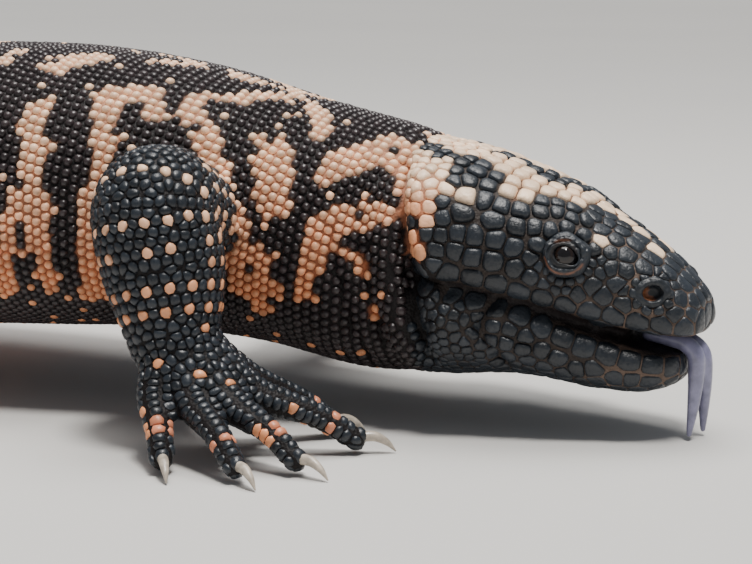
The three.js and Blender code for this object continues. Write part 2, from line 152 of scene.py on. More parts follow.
# Rings of each half's skin: the first, the last close one, and how many are close and wide apart
HALF_RINGS = ((0.5, 8, 14, 60), (4.6, 10, 12, 56))
HEAD_END = 61.0  # the last row of plates, behind the snout
LIMBS = {
    "front_right": {
        "root": (-7, -20, 43), "bend": (-10, -46, 49.5), "wrist": (-4.5, -51, 24),
        "radii": (12.0, 13.4, 10.0),
        "knuckles": ((10, -45, 14), (13, -52, 13), (11, -59, 12), (4, -62, 12), (-5, -61, 13)),
        "tips": ((24, -33), (33, -45), (26, -65), (16, -73), (0, -71)),
    },
    "front_left": {
        "root": (-2, 20, 42), "bend": (-1, 48, 47), "wrist": (12, 54, 18),
        "radii": (12.0, 13.4, 10.0),
        "knuckles": ((27, 49, 8), (30, 54, 7.5), (28, 60, 7.5), (22, 64, 7.5), (14, 65, 8)),
        "tips": ((40, 43), (49, 54), (46, 66), (35, 75), (18, 77)),
    },
    "hind_right": {
        "root": (-192, -22, 36), "bend": (-176, -55, 38), "wrist": (-196, -70, 15),
        "radii": (15.5, 13.4, 9.4),
        "knuckles": ((-179, -69, 7.5), (-176, -74, 7), (-178, -80, 7), (-184, -84, 7), (-193, -84, 7.5)),
        "tips": ((-166, -65), (-158, -75), (-160, -88), (-170, -98), (-191, -97)),
    },
    "hind_left": {
        "root": (-190, 12, 36), "bend": (-190, 48, 37), "wrist": (-216, 60, 15),
        "radii": (15.5, 13.4, 9.4),
        "knuckles": ((-199, 61, 7.5), (-197, 66, 7), (-199, 72, 7), (-205, 76, 7), (-214, 76, 7.5)),
        "tips": ((-186, 57), (-178, 67), (-181, 80), (-191, 90), (-212, 89)),
    },
}


def through(rows, keys):
    """A smooth curve through rows of (key, values): cubics, sloped at each row as its neighbours lie."""
    keys = np.asarray(keys, float)
    last = len(rows) - 1
    i = np.clip(np.searchsorted(rows[:, 0], keys, side="left") - 1, 0, last - 1)
    ends = np.arange(last + 1)
    before, after = rows[np.maximum(ends - 1, 0)], rows[np.minimum(ends + 1, last)]
    slopes = (after[:, 1:] - before[:, 1:]) / (after[:, :1] - before[:, :1])
    span = (rows[i + 1, 0] - rows[i, 0])[..., None]
    t = np.clip((keys - rows[i, 0])[..., None] / span, 0, 1)
    start = rows[i, 1:]
    rise = rows[i + 1, 1:] - start
    m0, m1 = slopes[i] * span, slopes[i + 1] * span
    return start + t * m0 + t**2 * (3 * rise - 2 * m0 - m1) + t**3 * (m0 + m1 - 2 * rise)


def unit(v):
    """Vectors of length one along the last axis."""
    return v / np.maximum(np.linalg.norm(v, axis=-1, keepdims=True), 1e-9)


def squared(value, n):
    """A superellipse coordinate: the sign of the value times its size to the power 2 / n."""
    return np.sign(value) * np.abs(value) ** (2 / n)


def bell(value, middle, width):
    """A bell curve: e to the minus square of the way from its middle over its width."""
    return np.exp(-(((value - middle) / width) ** 2))


def smooth_step(low, high, value):
    """0 below low, 1 above high, and an S curve between."""
    t = np.clip((value - low) / (high - low), 0, 1)
    return t * t * (3 - 2 * t)


def hashed(cell, seed):
    """A repeatable number from 0 to 1 for each whole-number triple, from a sine's lost digits."""
    mixed = np.sin(cell @ np.array([127.1, 311.7, 74.7]) + seed * 19.19) * 43758.5453
    return mixed - np.floor(mixed)


def value_noise(points, size, seed):
    """Smooth noise from 0 to 1: hashed numbers on a lattice of that size, blended by S curves."""
    p = np.asarray(points) / size
    base = np.floor(p)
    f = p - base
    f = f * f * (3 - 2 * f)
    total = 0
    for corner in np.ndindex(2, 2, 2):
        corner = np.array(corner)
        weight = np.prod(np.where(corner == 1, f, 1 - f), axis=-1)
        total = total + weight * hashed(base + corner, seed)
    return total


# Where things are
TRUNK_ROWS = np.column_stack([np.arange(len(TRUNK)), TRUNK])
HEAD_AXIS = np.array([math.cos(HEAD_YAW), math.sin(HEAD_YAW), 0.0])
HEAD_SIDE = np.array([-math.sin(HEAD_YAW), math.cos(HEAD_YAW), 0.0])
UP = np.array([0.0, 0.0, 1.0])


def in_head(back, side, height):
    """A point by its distance behind the snout tip, to the head's left, and above the floor."""
    back, side, height = np.broadcast_arrays(np.asarray(back, float), side, height)
    flat = SNOUT - back[..., None] * HEAD_AXIS + side[..., None] * HEAD_SIDE
    return flat + height[..., None] * UP


def behind_snout(points):
    """How far behind the snout's tip each place is."""
    return -((points - SNOUT) @ HEAD_AXIS)


def width_at(rows, shape, backs, heights, swell=0.0):
    """Half width of the head at a height: its superellipse solved for the side."""
    width, low, high = np.moveaxis(through(rows, backs), -1, 0)
    waist, above, below = shape
    middle = low + (high - low) * waist
    upper = heights > middle
    n = np.where(upper, above, below)
    reach = np.where(upper, high - middle, middle - low) + swell
    share = np.clip(np.abs(heights - middle) / reach, 0, 1)
    return (width + swell) * (1 - share**n) ** (1 / n)


def cheek(back, height, sign, inset):
    """A point of the upper head's side at that height, drawn in by the inset."""
    return in_head(back, sign * (width_at(UPPER_HEAD, UPPER_SHAPE, back, height) - inset), height)


def eye_centre(sign):
    """The eye's middle, a little inside the cheek."""
    return cheek(EYE_BACK, EYE_HEIGHT, sign, EYE_INSET)


def eye_look(sign):
    """The way an eye looks: outward, a little forward and up."""
    return unit(sign * HEAD_SIDE + 0.22 * HEAD_AXIS + 0.3 * UP)


def nostril_centre(sign):
    """The middle of a nostril, on the snout's side."""
    return cheek(NOSTRIL_BACK, NOSTRIL_HEIGHT, sign, 0.2)


def nostril_look(sign):
    """The way a nostril opens: outward and forward."""
    return unit(sign * HEAD_SIDE + 0.45 * HEAD_AXIS + 0.12 * UP)


def sides_of(look):
    """The level side and the upward way across a look."""
    side = unit(np.cross(UP, look))
    return side, np.cross(look, side)


OPENINGS = [(centre(sign), look(sign), clear) for centre, look, clear in (
    (eye_centre, eye_look, EYE_CLEAR), (nostril_centre, nostril_look, NOSTRIL_CLEAR)) for sign in SIDES]


def from_axis(points, centre, look):
    """Distance from an opening's axis, for points near it; far ones count as 100."""
    off = points - centre
    along = off @ look
    away = np.linalg.norm(off - along[:, None] * look, axis=1)
    return np.where(np.abs(along) < 9, away, 100.0)


eye_low, eye_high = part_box("eye_right")
SHIFT = (np.array(eye_low) + np.array(eye_high)) / 2 / MM - eye_centre(-1)
SHIFT[2] = 0


def placed(points):
    """The animal's own millimetres as metres in the frame."""
    return (np.asarray(points) + SHIFT) * MM


def trunk_sections(stations):
    """Middle, half width, half height, side and up at each station. Along is the spine's own slope."""
    stations = np.asarray(stations, float)
    values = through(TRUNK_ROWS, stations)
    ahead = through(TRUNK_ROWS, np.maximum(stations - 0.05, 0))
    behind = through(TRUNK_ROWS, np.minimum(stations + 0.05, len(TRUNK) - 1))
    along = unit(ahead[..., :3] - behind[..., :3])
    side = unit(np.cross(UP, along))
    return values[..., :3], values[..., 3], values[..., 4], side, np.cross(along, side)


def trunk_points(stations, angles, swell=0.0):
    """Flattened ovals across the spine: superellipses, squarer below. Angle 90 degrees is the back."""
    middle, width, height, side, up = trunk_sections(stations)
    n = np.where(np.sin(angles) < 0, 2.5, 2.1)
    across = (width + swell) * squared(np.cos(angles), n)
    rise = (height + swell) * squared(np.sin(angles), n)
    return middle + across[..., None] * side + rise[..., None] * up


def head_points(rows, shape, backs, angles, swell=0.0):
    """Superellipse sections across the head, with their own squareness above and below the widest line."""
    waist, above, below = shape
    width, low, high = np.moveaxis(through(rows, backs), -1, 0)
    middle = low + (high - low) * waist
    top = np.sin(angles) >= 0
    n = np.where(top, above, below)
    reach = np.where(top, high - middle, middle - low) + swell
    height = middle + reach * squared(np.sin(angles), n)
    return in_head(backs, (width + swell) * squared(np.cos(angles), n), height)


def run_along(points):
    """The way along a line of places, from the first to each."""
    return np.concatenate([[0], np.cumsum(np.linalg.norm(np.diff(points, axis=0), axis=1))])


def walk(points, run, marks):
    """The places at marks along that line, straight between its own."""
    return np.stack([np.interp(marks, run, column) for column in points.T], -1)


def path_through(knots, count):
    """A centripetal curve through knots of (x, y, z, radius), as count even points with their radii."""
    knots = np.asarray(knots, float)
    gaps = np.sqrt(np.linalg.norm(np.diff(knots[:, :3], axis=0), axis=1))
    keys = np.concatenate([[0], np.cumsum(gaps)])
    rows = np.column_stack([keys, knots])
    fine = through(rows, np.linspace(0, keys[-1], 400))
    run = run_along(fine[:, :3])
    return walk(fine, run, np.linspace(0, run[-1], count)), run[-1]


def path_frames(path):
    """Two directions across a path at each point, carried along it without twist from the level one."""
    along = unit(np.gradient(path[:, :3], axis=0))
    level = np.cross(UP, along)
    first = np.where(np.linalg.norm(level, axis=-1, keepdims=True) > 0.2, level, np.array([1.0, 0.0, 0.0]))
    side = np.empty_like(along)
    side[0] = unit(first[0] - along[0] * (first[0] @ along[0]))
    for k in range(1, len(path)):
        side[k] = unit(side[k - 1] - along[k] * (side[k - 1] @ along[k]))
    return along, side, np.cross(along, side)


def tube_points(path, angles):
    """Circles of each radius carried along the path."""
    _, side, up = path_frames(path)
    ring = np.cos(angles)[None, :, None] * side[:, None] + np.sin(angles)[None, :, None] * up[:, None]
    return path[:, None, :3] + path[:, None, 3:] * ring


def around(count):
    """Even angles round a circle."""
    return np.arange(count) * 2 * math.pi / count


def spread(rows, columns):
    """Two grids that hold every pair of a row's value and a column's."""
    return np.meshgrid(rows, columns, indexing="ij")


def closed_grid(grid):
    """Vertices and faces of rings joined into a tube, with a fan over each end."""
    rings, sides = grid.shape[:2]
    verts = np.concatenate([grid.reshape(-1, 3), grid[0].mean(0)[None], grid[-1].mean(0)[None]])
    ring, k = spread(np.arange(rings - 1), np.arange(sides))
    a = ring * sides + k
    b = ring * sides + (k + 1) % sides
    quads = np.stack([a, b, b + sides, a + sides], -1).reshape(-1, 4)
    k = np.arange(sides)
    last = (rings - 1) * sides
    start = np.stack([np.full(sides, rings * sides), (k + 1) % sides, k], -1)
    end = np.stack([np.full(sides, rings * sides + 1), last + k, last + (k + 1) % sides], -1)
    return verts, quads.tolist() + start.tolist() + end.tolist()


def closed_ring(grid):
    """Vertices and faces of a grid that wraps both ways, as a ring's surface does."""
    rings, sides = grid.shape[:2]
    ring, k = spread(np.arange(rings), np.arange(sides))
    a, b = ring * sides + k, ring * sides + (k + 1) % sides
    c, d = (ring + 1) % rings * sides + (k + 1) % sides, (ring + 1) % rings * sides + k
    return grid.reshape(-1, 3), np.stack([a, b, c, d], -1).reshape(-1, 4).tolist()


def make_object(name, verts, faces, smooth=True):
    """A mesh object at the origin, from vertices in metres."""
    mesh = bpy.data.meshes.new(name)
    mesh.from_pydata(np.asarray(verts).tolist(), [], faces)
    mesh.polygons.foreach_set("use_smooth", [smooth] * len(mesh.polygons))
    mesh.update()
    thing = bpy.data.objects.new(name, mesh)
    bpy.context.scene.collection.objects.link(thing)
    return thing


def closed_piece(name, verts, faces, tint=None):
    """A closed piece with a tint for each vertex where one is given, and every face turned outward."""
    thing = make_object(name, verts, faces)
    if tint is not None:
        set_colours(thing.data, tint)
    work = bmesh.new()
    work.from_mesh(thing.data)
    bmesh.ops.remove_doubles(work, verts=work.verts, dist=1e-7)
    bmesh.ops.recalc_face_normals(work, faces=work.faces)
    work.to_mesh(thing.data)
    work.free()
    return thing


def set_colours(mesh, colours):
    """A colour for each vertex, as the attribute that the materials read."""
    layer = mesh.attributes.new("tint", "FLOAT_COLOR", "POINT")
    rgba = np.concatenate([colours, np.ones((len(colours), 1))], axis=1)
    layer.data.foreach_set("color", rgba.astype(np.float32).ravel())


def limb_knots(limb):
    """Knots of a whole limb from shoulder or hip to wrist or ankle."""
    upper, elbow, lower = limb["radii"]
    root, bend, wrist = (np.array(limb[k], float) for k in ("root", "bend", "wrist"))
    return [
        (*root, upper),
        (*(root * 0.45 + bend * 0.55), (upper + elbow) / 2 - 0.3),
        (*bend, elbow),
        (*((bend + wrist) / 2), elbow * 0.97),
        (*wrist, lower),
    ]


def digit_knots(limb, number):
    """Knots of one digit from inside the wrist to its tip."""
    wrist, bend = np.array(limb["wrist"], float), np.array(limb["bend"], float)
    knuckle = np.array(limb["knuckles"][number], float)
    tip = np.array([*limb["tips"][number], TIP_HEIGHT + COAT_DEPTH])
    return [
        (*(wrist + (bend - wrist) * 0.12), 7.4),
        (*(wrist + (knuckle - wrist) * 0.45), 5.6),
        (*knuckle, FINGER_RADIUS + 0.9),
        (*(knuckle * 0.45 + tip * 0.55 + np.array([0, 0, 1.2])), FINGER_RADIUS),
        (*tip, FINGER_RADIUS - 0.2),
    ]


def round_ended(path, cap=5):
    """The path with a shrinking half ball of rings added at both ends."""
    turn = np.linspace(0, math.pi / 2, cap + 1)[1:]
    ends = []
    for end, inner in ((0, 1), (-1, -2)):
        out = unit(path[end, :3] - path[inner, :3])
        radius = path[end, 3]
        extra = path[end, :3] + np.sin(turn)[:, None] * radius * out
        ends.append(np.column_stack([extra, np.maximum(np.cos(turn), 0.08) * radius]))
    return np.concatenate([ends[0][::-1], path, ends[1]])


TRUNK_BEAD, LIMB_BEAD, LIMB_SPOT, HAND_BEAD, SCUTE_PLATE, RING_SCUTE = range(6)
CROWN_PLATE, BROW_PLATE, LIP_PLATE, CLAW_PLATE, GRANULE = range(6, 11)
# What each kind is like, in that order: its rank where two crowd, how far its root strays, how far off bare
# skin may lie, its height, and its outline's reach, squareness and shrink. Bare skin and reach are shares of
# its spacing. The height of the crown's plates follows their spacing.
KINDS = np.array([
    [0, 0.16, 0.80, 0.85, 0.67, 5.4, 0.98],
    [0, 0.06, 0.68, 0.66, 0.80, 8.0, 0.98],
    [0, 0.06, 0.68, 0.66, 0.80, 8.0, 0.98],
    [1, 0.06, 0.60, 0.62, 0.80, 8.0, 0.98],
    [2, 0.06, 1.20, 0.55, 1.18, 5.4, 0.98],
    [2, 0.06, 1.20, 0.55, 1.18, 5.4, 0.98],
    [3, 0.68, 0.80, 0.00, 0.84, 9.0, 0.965],
    [6, 0.06, 0.80, 1.25, 0.67, 5.4, 0.98],
    [4, 0.06, 0.80, 0.65, 0.73, 10.0, 0.975],
    [5, 0.06, 0.80, 0.62, 0.67, 5.4, 0.98],
    [6, 0.06, 0.80, 0.62, 0.67, 5.4, 0.98],
])
# The kind that fills a bare place beside each kind
FILLERS = np.array([
    TRUNK_BEAD, LIMB_BEAD, LIMB_BEAD, HAND_BEAD, HAND_BEAD, HAND_BEAD,
    CROWN_PLATE, CROWN_PLATE, CROWN_PLATE, HAND_BEAD, CROWN_PLATE,
])
SNOUT_END = 24.0  # plates nearer the snout's tip than this lie flat and square
SNOUT_FLAT = (0.5, 18.0, 0.975)  # their height, squareness and shrink
TIP_END = 7.0
TIP_FLAT = 0.35  # height of the foremost ones

# Markings
PEACH = np.array([0.84, 0.37, 0.18])
CREAM = np.array([0.90, 0.66, 0.46])
ORANGE = np.array([0.66, 0.21, 0.075])
BROWN_BLACK = np.array([0.026, 0.018, 0.019])
BLUE_BLACK = np.array([0.014, 0.018, 0.024])
RING_RED = np.array([0.66, 0.24, 0.13])
FOLD_BROWN = np.array([0.22, 0.085, 0.04])
SEAM_TAN = np.array([0.125, 0.085, 0.064])
HEAD_SEAM = np.array([0.036, 0.027, 0.023])
UNDER_LIGHT = np.array([0.42, 0.30, 0.26])  # the skin's share of the colour of light beads on it
PUPIL = np.array([0.006, 0.005, 0.006])
IRIS = np.array([0.014, 0.008, 0.006])
# Light bars of the flank: from and to as (x, degrees above the middle of the side), and half width
FLANK_BARS = (
    (-48, 3, -52, -36, 2.1), (-60, 65, -59, 74, 2.6), (-44, 42, -41, -33, 3.0), (-46, 63, -39, 74, 3.2),
    (-28, 44, -27, 11, 2.7), (-30, 49, -21, 55, 3.4), (-21, 53, -17, 43, 2.1), (-29, 5, -31, -36, 2.9),
    (-23, 84, -14, 90, 2.0), (-13, 55, -4, 66, 2.0), (-12, 52, -3, 28, 3.4), (-3, 28, 3, 5, 3.4),
    (3, 5, 3, -8, 2.7), (0, -14, 7, -29, 3.3), (-4, 64, 8, 84, 2.2), (-6, 88, 6, 92, 2.0),
    (8, 39, 10, 21, 4.6), (13, 80, 18, 58, 2.2), (21, 37, 27, 49, 3.6), (24, 48, 34, 68, 2.7),
    (23, 17, 34, 25, 3.0), (22, 13, 19, -4, 3.2), (19, -4, 17, -20, 2.3), (27, 7, 30, 1, 1.9),
    (30, 92, 34, 96, 2.0), (35, 50, 41, 68, 3.5), (38, 40, 42, 15, 2.2), (8, -4, 9, -24, 1.9),
    (-63, 45, -64, -10, 2.2), (-70, 80, -71, -36, 3.2),
)
DEGREE = 0.58  # millimetres of flank to a degree
# Lower edge of the light crown by distance behind the snout, as a share of the upper head's height
CROWN_EDGE = np.array([
    [9, 1.25], [13, 0.74], [20, 0.66], [27, 0.84], [34, 0.80], [44, 0.72], [54, 0.64], [60, 0.40],
    [68, 0.25],
])


def flank_coordinates(points):
    """Station, side and degrees above the middle of the side, by the nearest point of the spine."""
    stations = np.linspace(0, len(TRUNK) - 1, 240)
    middle, width, height, side, up = trunk_sections(stations)
    gap = ((points[:, None, :2] - middle[None, :, :2]) ** 2).sum(-1)
    near = gap.argmin(1)
    off = points - middle[near]
    across = (off * side[near]).sum(1) / width[near]
    rise = (off * up[near]).sum(1) / height[near]
    return stations[near], across, np.degrees(np.arctan2(rise, np.abs(across))), middle[near, 0]


def line_distance(here, a, b):
    """Distance from places on a plane to the line from a to b."""
    t = np.clip((here - a) @ (b - a) / ((b - a) @ (b - a)), 0, 1)
    return np.linalg.norm(here - a - t[:, None] * (b - a), axis=1)


def bar_distance(x, degrees, bars):
    """Distance to the nearest bar, less its half width, with degrees taken as millimetres of flank."""
    here = np.stack([x, degrees * DEGREE], -1)
    ways = [line_distance(here, np.array([x1, a1 * DEGREE]), np.array([x2, a2 * DEGREE])) - half
            for x1, a1, x2, a2, half in bars]
    return np.min(ways, axis=0)


def trunk_light(points):
    """True where the trunk is light: bars on the front flanks, then a warped net, and rings on the tail."""
    station, across, degrees, spine_x = flank_coordinates(points)
    warp = value_noise(points, 9, 1) - 0.5
    fine = value_noise(points, 4, 2) - 0.5
    mirror_x = np.where(across > 0, spine_x * 0.96 + 3, points[:, 0])
    bars = bar_distance(mirror_x + warp * 2.5, degrees + warp * 4, FLANK_BARS) + fine * 1.6
    wave = np.sin(spine_x * 2 * math.pi / 27 + 5.5 * (value_noise(points, 30, 3) - 0.5) + 1.2 * warp)
    net = wave + 1.9 * (value_noise(points * np.array([1, 0.6, 0.6]), 13, 4) - 0.5) + 0.1
    net = -net * 4 + fine * 3
    rear = smooth_step(-62, -72, points[:, 0])
    body = bars * (1 - rear) + net * rear
    rings = -(np.sin((station - 9.3) * 2 * math.pi / 1.32) + 0.15) * 5 + warp * 4 + fine * 3
    tail = smooth_step(9.0, 10.0, station)
    return body * (1 - tail) + rings * tail < 0


def head_light(points):
    """True on the crown: above its lower edge, less some dark flecks."""
    back = behind_snout(points)
    _, low, high = np.moveaxis(through(UPPER_HEAD, np.clip(back, 0, 60)), -1, 0)
    share = (points[:, 2] - low) / (high - low)
    edge = through(CROWN_EDGE, np.clip(back, 9, 68))[:, 0] + (value_noise(points, 5, 6) - 0.5) * 0.16
    flecks = value_noise(points * np.array([0.6, 1, 1]), 4.0, 7)
    fringe = (back > 52.5) & (points[:, 2] > 36) & (points[:, 2] < 58)
    return ((share > edge) & (flecks < 0.57) & (back > 8)) | (fringe & (flecks < 0.8))


def bead_colours(points, kind, generator):
    """Each bead's colour: its markings, light ones creamier higher up (partly painted light from above), then
    a small change of tone of its own.
    """
    draw = generator.random((len(points), 4))
    light = kind == RING_SCUTE
    trunk = kind == TRUNK_BEAD
    light[trunk] = trunk_light(points[trunk])
    head = kind == CROWN_PLATE
    light[head] = head_light(points[head])
    stray = np.select([trunk, kind == SCUTE_PLATE, kind == HAND_BEAD], [0.045, 0.02, 0.03], 0.0)
    light = light | ((kind == LIMB_SPOT) & (value_noise(points, 8, 8) > 0.14) & (draw[:, 0] > 0.07))
    light = light | (draw[:, 0] < stray)
    light &= ~(trunk & light & (draw[:, 1] < 0.02))
    # Light beads go from orange to cream higher up: partly their own colour, partly painted light from above.
    height = smooth_step(24, 66, points[:, 2])[:, None]
    pale = ORANGE * 0.3 + PEACH * 0.7
    pale = pale * (1 - height) + (PEACH * 0.25 + CREAM * 0.75) * height
    back = behind_snout(points)
    fringe = smooth_step(50, 56, back)[:, None] * smooth_step(56, 48, points[:, 2])[:, None]
    pale = np.where(head[:, None], CREAM * (1 - fringe) + PEACH * fringe, pale)
    red = (kind == RING_SCUTE) & (value_noise(points, 6, 15) > 0.42)
    pale = np.where(red[:, None], RING_RED, pale)
    pale = pale * (0.86 + 0.28 * draw[:, 2:3])
    body = trunk & (points[:, 0] < 40)
    dark = np.where(body[:, None], BROWN_BLACK, BLUE_BLACK) * (0.7 + 0.7 * draw[:, 3:4])
    return np.where(light[:, None], pale, dark), light


def nearer_lips(rows, lip, way):
    """Head rows whose lip is moved towards the other one."""
    moved = rows.astype(float)
    moved[:, lip + 1] += way * np.interp(rows[:, 0], LIPS_CLOSE[:, 0], LIPS_CLOSE[:, 1])
    return moved


def skin_path(knots, count, depth):
    """The path through knots with its radii less the depth of the skin, and its length."""
    path, length = path_through(knots, count)
    path[:, 3] -= depth
    return path, length


def fuse(name, solids, voxel, rounds):
    """One piece from overlapping closed ones, joined on a lattice and relaxed half way in each round."""
    verts, faces, start = [], [], 0
    for points, loops in solids:
        verts.append(placed(points))
        faces += [[i + start for i in loop] for loop in loops]
        start += len(points)
    thing = closed_piece(name, np.concatenate(verts), faces)
    remesh = thing.modifiers.new("join", "REMESH")
    remesh.mode = "VOXEL"
    remesh.voxel_size = voxel * MM
    relax = thing.modifiers.new("relax", "SMOOTH")
    relax.factor = 0.5
    relax.iterations = rounds
    graph = bpy.context.evaluated_depsgraph_get()
    made = bpy.data.meshes.new_from_object(thing.evaluated_get(graph))
    thing.modifiers.clear()
    old = thing.data
    thing.data = made
    bpy.data.meshes.remove(old)
    made.polygons.foreach_set("use_smooth", [True] * len(made.polygons))
    return thing


def build_skin():
    """One skin: trunk, head, limbs and digits as overlapping tubes, fused, with folds and flat soles."""
    stations, angles = spread(np.linspace(0, len(TRUNK) - 1, 260), around(96))
    solids = [closed_grid(trunk_points(stations, angles, -COAT_DEPTH))]
    for (rows, shape, lip, way), (first, fine, close, wide) in zip(HALVES, HALF_RINGS):
        backs = np.concatenate([np.linspace(first, fine, close)[:-1], np.linspace(fine, 63, wide)])
        backs, angles = spread(backs, around(96))
        rows = nearer_lips(rows, lip, way)
        solids.append(closed_grid(head_points(rows, shape, backs, angles, -HEAD_DEPTH)))
    for limb in LIMBS.values():
        path, _ = skin_path(limb_knots(limb), 50, COAT_DEPTH)
        solids.append(closed_grid(tube_points(round_ended(path), around(40))))
        for number in range(5):
            path, _ = skin_path(digit_knots(limb, number), 44, DIGIT_DEPTH)
            solids.append(closed_grid(tube_points(round_ended(path), around(24))))
    skin = fuse("skin", solids, SKIN_VOXEL, 5)
    fold_skin(skin)
    return skin


def read_skin(skin):
    """Places of the skin's vertices in the animal's own millimetres, and their normals."""
    columns = []
    for key in ("co", "normal"):
        flat = np.empty(len(skin.data.vertices) * 3)
        skin.data.vertices.foreach_get(key, flat)
        columns.append(flat.reshape(-1, 3))
    return columns[0] / MM - SHIFT, columns[1]


def fold_skin(skin):
    """Sinks the skin by depth times a bell curve of the way to each fold, and sinks it under openings."""
    points, normals = read_skin(skin)
    here = np.stack([behind_snout(points), points[:, 2]], -1)
    push = np.zeros(len(points))
    for back1, z1, back2, z2, depth, width in FOLDS:
        gap = line_distance(here, np.array([back1, z1]), np.array([back2, z2]))
        push -= depth * bell(gap, 0, width)
    sideways = smooth_step(0.25, 0.6, np.abs(normals @ HEAD_SIDE))
    near_head = (points[:, 0] > 20) * (np.abs((points - SNOUT) @ HEAD_SIDE) < 40)
    points += normals * (push * sideways * near_head)[:, None]
    for centre, look, clear in OPENINGS:
        away = from_axis(points, centre, look) + 100 * (normals @ look < 0)
        points -= look * (2.6 * (1 - smooth_step(clear * 0.62, clear * 0.98, away)))[:, None]
    points[:, 2] = np.maximum(points[:, 2], 0.0)  # the soles lie on the floor
    skin.data.vertices.foreach_set("co", placed(points).ravel())
    skin.data.update()


def even_ring(points, spacing, phase, lead):
    """Points an even way apart round a closed ring, from the lead's share of it plus a phase of one step."""
    closed = np.concatenate([points, points[:1]])
    run = run_along(closed)
    count = max(int(round(run[-1] / spacing)), 3)
    marks = (np.arange(count) + (phase + lead * count) % 1.0) / count * run[-1]
    return walk(closed, run, marks), marks / run[-1]


def rooted(points, spacing, kind, charts, piece):
    """Roots as columns: places, spacing, kind, place on the unwrap and number of the piece."""
    whole = np.zeros(len(points), int)
    return [points, whole + spacing, whole + kind, charts, whole + piece]


def ring_roots(rings, across, spacing, kind, piece, stagger=0.5, lead=0.0):
    """Roots in rows, one row to each ring, and the number of each root's row."""
    across, spacing = np.broadcast_to(across, len(rings)), np.broadcast_to(spacing, len(rings))
    rows = [even_ring(ring, across[k], stagger * (k % 2), lead) for k, ring in enumerate(rings)]
    row = np.repeat(np.arange(len(rings)), [len(points) for points, _ in rows])
    charts = np.stack([(row + 0.5) / len(rings), np.concatenate([share for _, share in rows])], -1)
    return rooted(np.concatenate([points for points, _ in rows]), spacing[row], kind, charts, piece), row


TRUNK_PIECES = {
    "beads_front": (0.0, 3.1), "beads_middle": (3.1, 4.5), "beads_waist": (4.5, 6.0),
    "beads_rear": (6.0, 8.5), "beads_tail": (8.5, 16.0),
}
FIRST_LIMB = len(TRUNK_PIECES)
HEAD_PIECE = FIRST_LIMB + len(LIMBS)


def trunk_roots():
    """Rows of beads across the trunk, an even way apart along the spine, in pieces from neck to tail."""
    stations = np.linspace(0, len(TRUNK) - 1.0, 600)
    run = run_along(trunk_sections(stations)[0])
    found = []
    for piece, (name, (start, end)) in enumerate(TRUNK_PIECES.items()):
        bead = TAIL_BEAD if name == "beads_tail" else BEAD
        first, last = np.interp([start, end], stations, run)
        rows = np.interp(np.arange(first + bead * 0.45, last, bead * ROW), run, stations)
        grid, angles = spread(rows, around(180) - math.pi / 2)
        rings = trunk_points(grid, angles, -COAT_DEPTH)
        found.append(ring_roots(rings, bead, bead, TRUNK_BEAD, piece)[0])
    return found


def limb_roots(limb, piece):
    """Rows of beads round a limb and its palm, scutes across the digits, and a plate behind each claw."""
    path, length = skin_path(limb_knots(limb), 60, COAT_DEPTH)
    picks = np.linspace(0, 59, int(length / (LIMB_SPACING * ROW))).round().astype(int)
    rings = tube_points(path, around(90))[picks]
    arm, row = ring_roots(rings, LIMB_SPACING, LIMB_SPACING, LIMB_BEAD, piece)
    turn = np.arange(len(row)) - np.searchsorted(row, row)
    arm[2][(row % 2 == 0) & (turn % 2 == 0)] = LIMB_SPOT
    arm[3][:, 1] = 0.45 + arm[3][:, 1] * 0.5
    found = [arm]  # on the unwrap the limb is right of 0.45, the palm left of that, and the digits below 0.4
    along, across = SCUTE
    for number in range(5):
        path, length = skin_path(digit_knots(limb, number), DIGIT_STEPS, DIGIT_DEPTH)
        start = SCUTES_START[number]
        count = int(length * (SCUTES_END - start) / DIGIT_STEPS / along)
        rings = tube_points(path, around(60))[np.linspace(start, SCUTES_END, count).round().astype(int)]
        part, row = ring_roots(rings, across, along * 1.15, SCUTE_PLATE, piece, 0, 0.25)
        ring = (row == count - 3) | ((row == count - 4) & (number in (2, 4)))
        part[2][ring & (part[0][:, 2] > 2.0)] = RING_SCUTE
        part[3][:, 1] = (part[3][:, 1] + number) / 5 * 0.38
        end, radius = path[-1, :3], path[-1, 3]
        tip = end + UP * (radius * 0.72) + unit(end - path[-8, :3]) * radius * 0.55
        chart = np.array([[0.5, 0.395 + 0.004 * number]])
        found += [part, rooted(tip[None], CLAW_PLATE_SIZE, CLAW_PLATE, chart, piece)]
    for number in range(5):
        path, _ = skin_path(digit_knots(limb, number)[:3], 40, DIGIT_DEPTH)
        rings = tube_points(path, around(60))[6:36:5]
        part, _ = ring_roots(rings, HAND_SPACING, HAND_SPACING, HAND_BEAD, piece)
        part[3][:, 1] = 0.42 + (part[3][:, 1] + number) / 5 * 0.025
        found.append(part)
    return found


# Spacing of the head's plates by distance behind the snout: smaller round the eyes and on the throat
UPPER_SPACING = ([0, 6, 11, 17, 30, 37, 48, 53, 61], [3.3, 3.9, 4.1, 3.4, 3.4, 4.3, 4.2, 3.0, 2.6])
JAW_SPACING = ([0, 9, 30, 41, 45, 60], [3.4, 4.2, 3.9, 3.3, 2.5, 2.1])


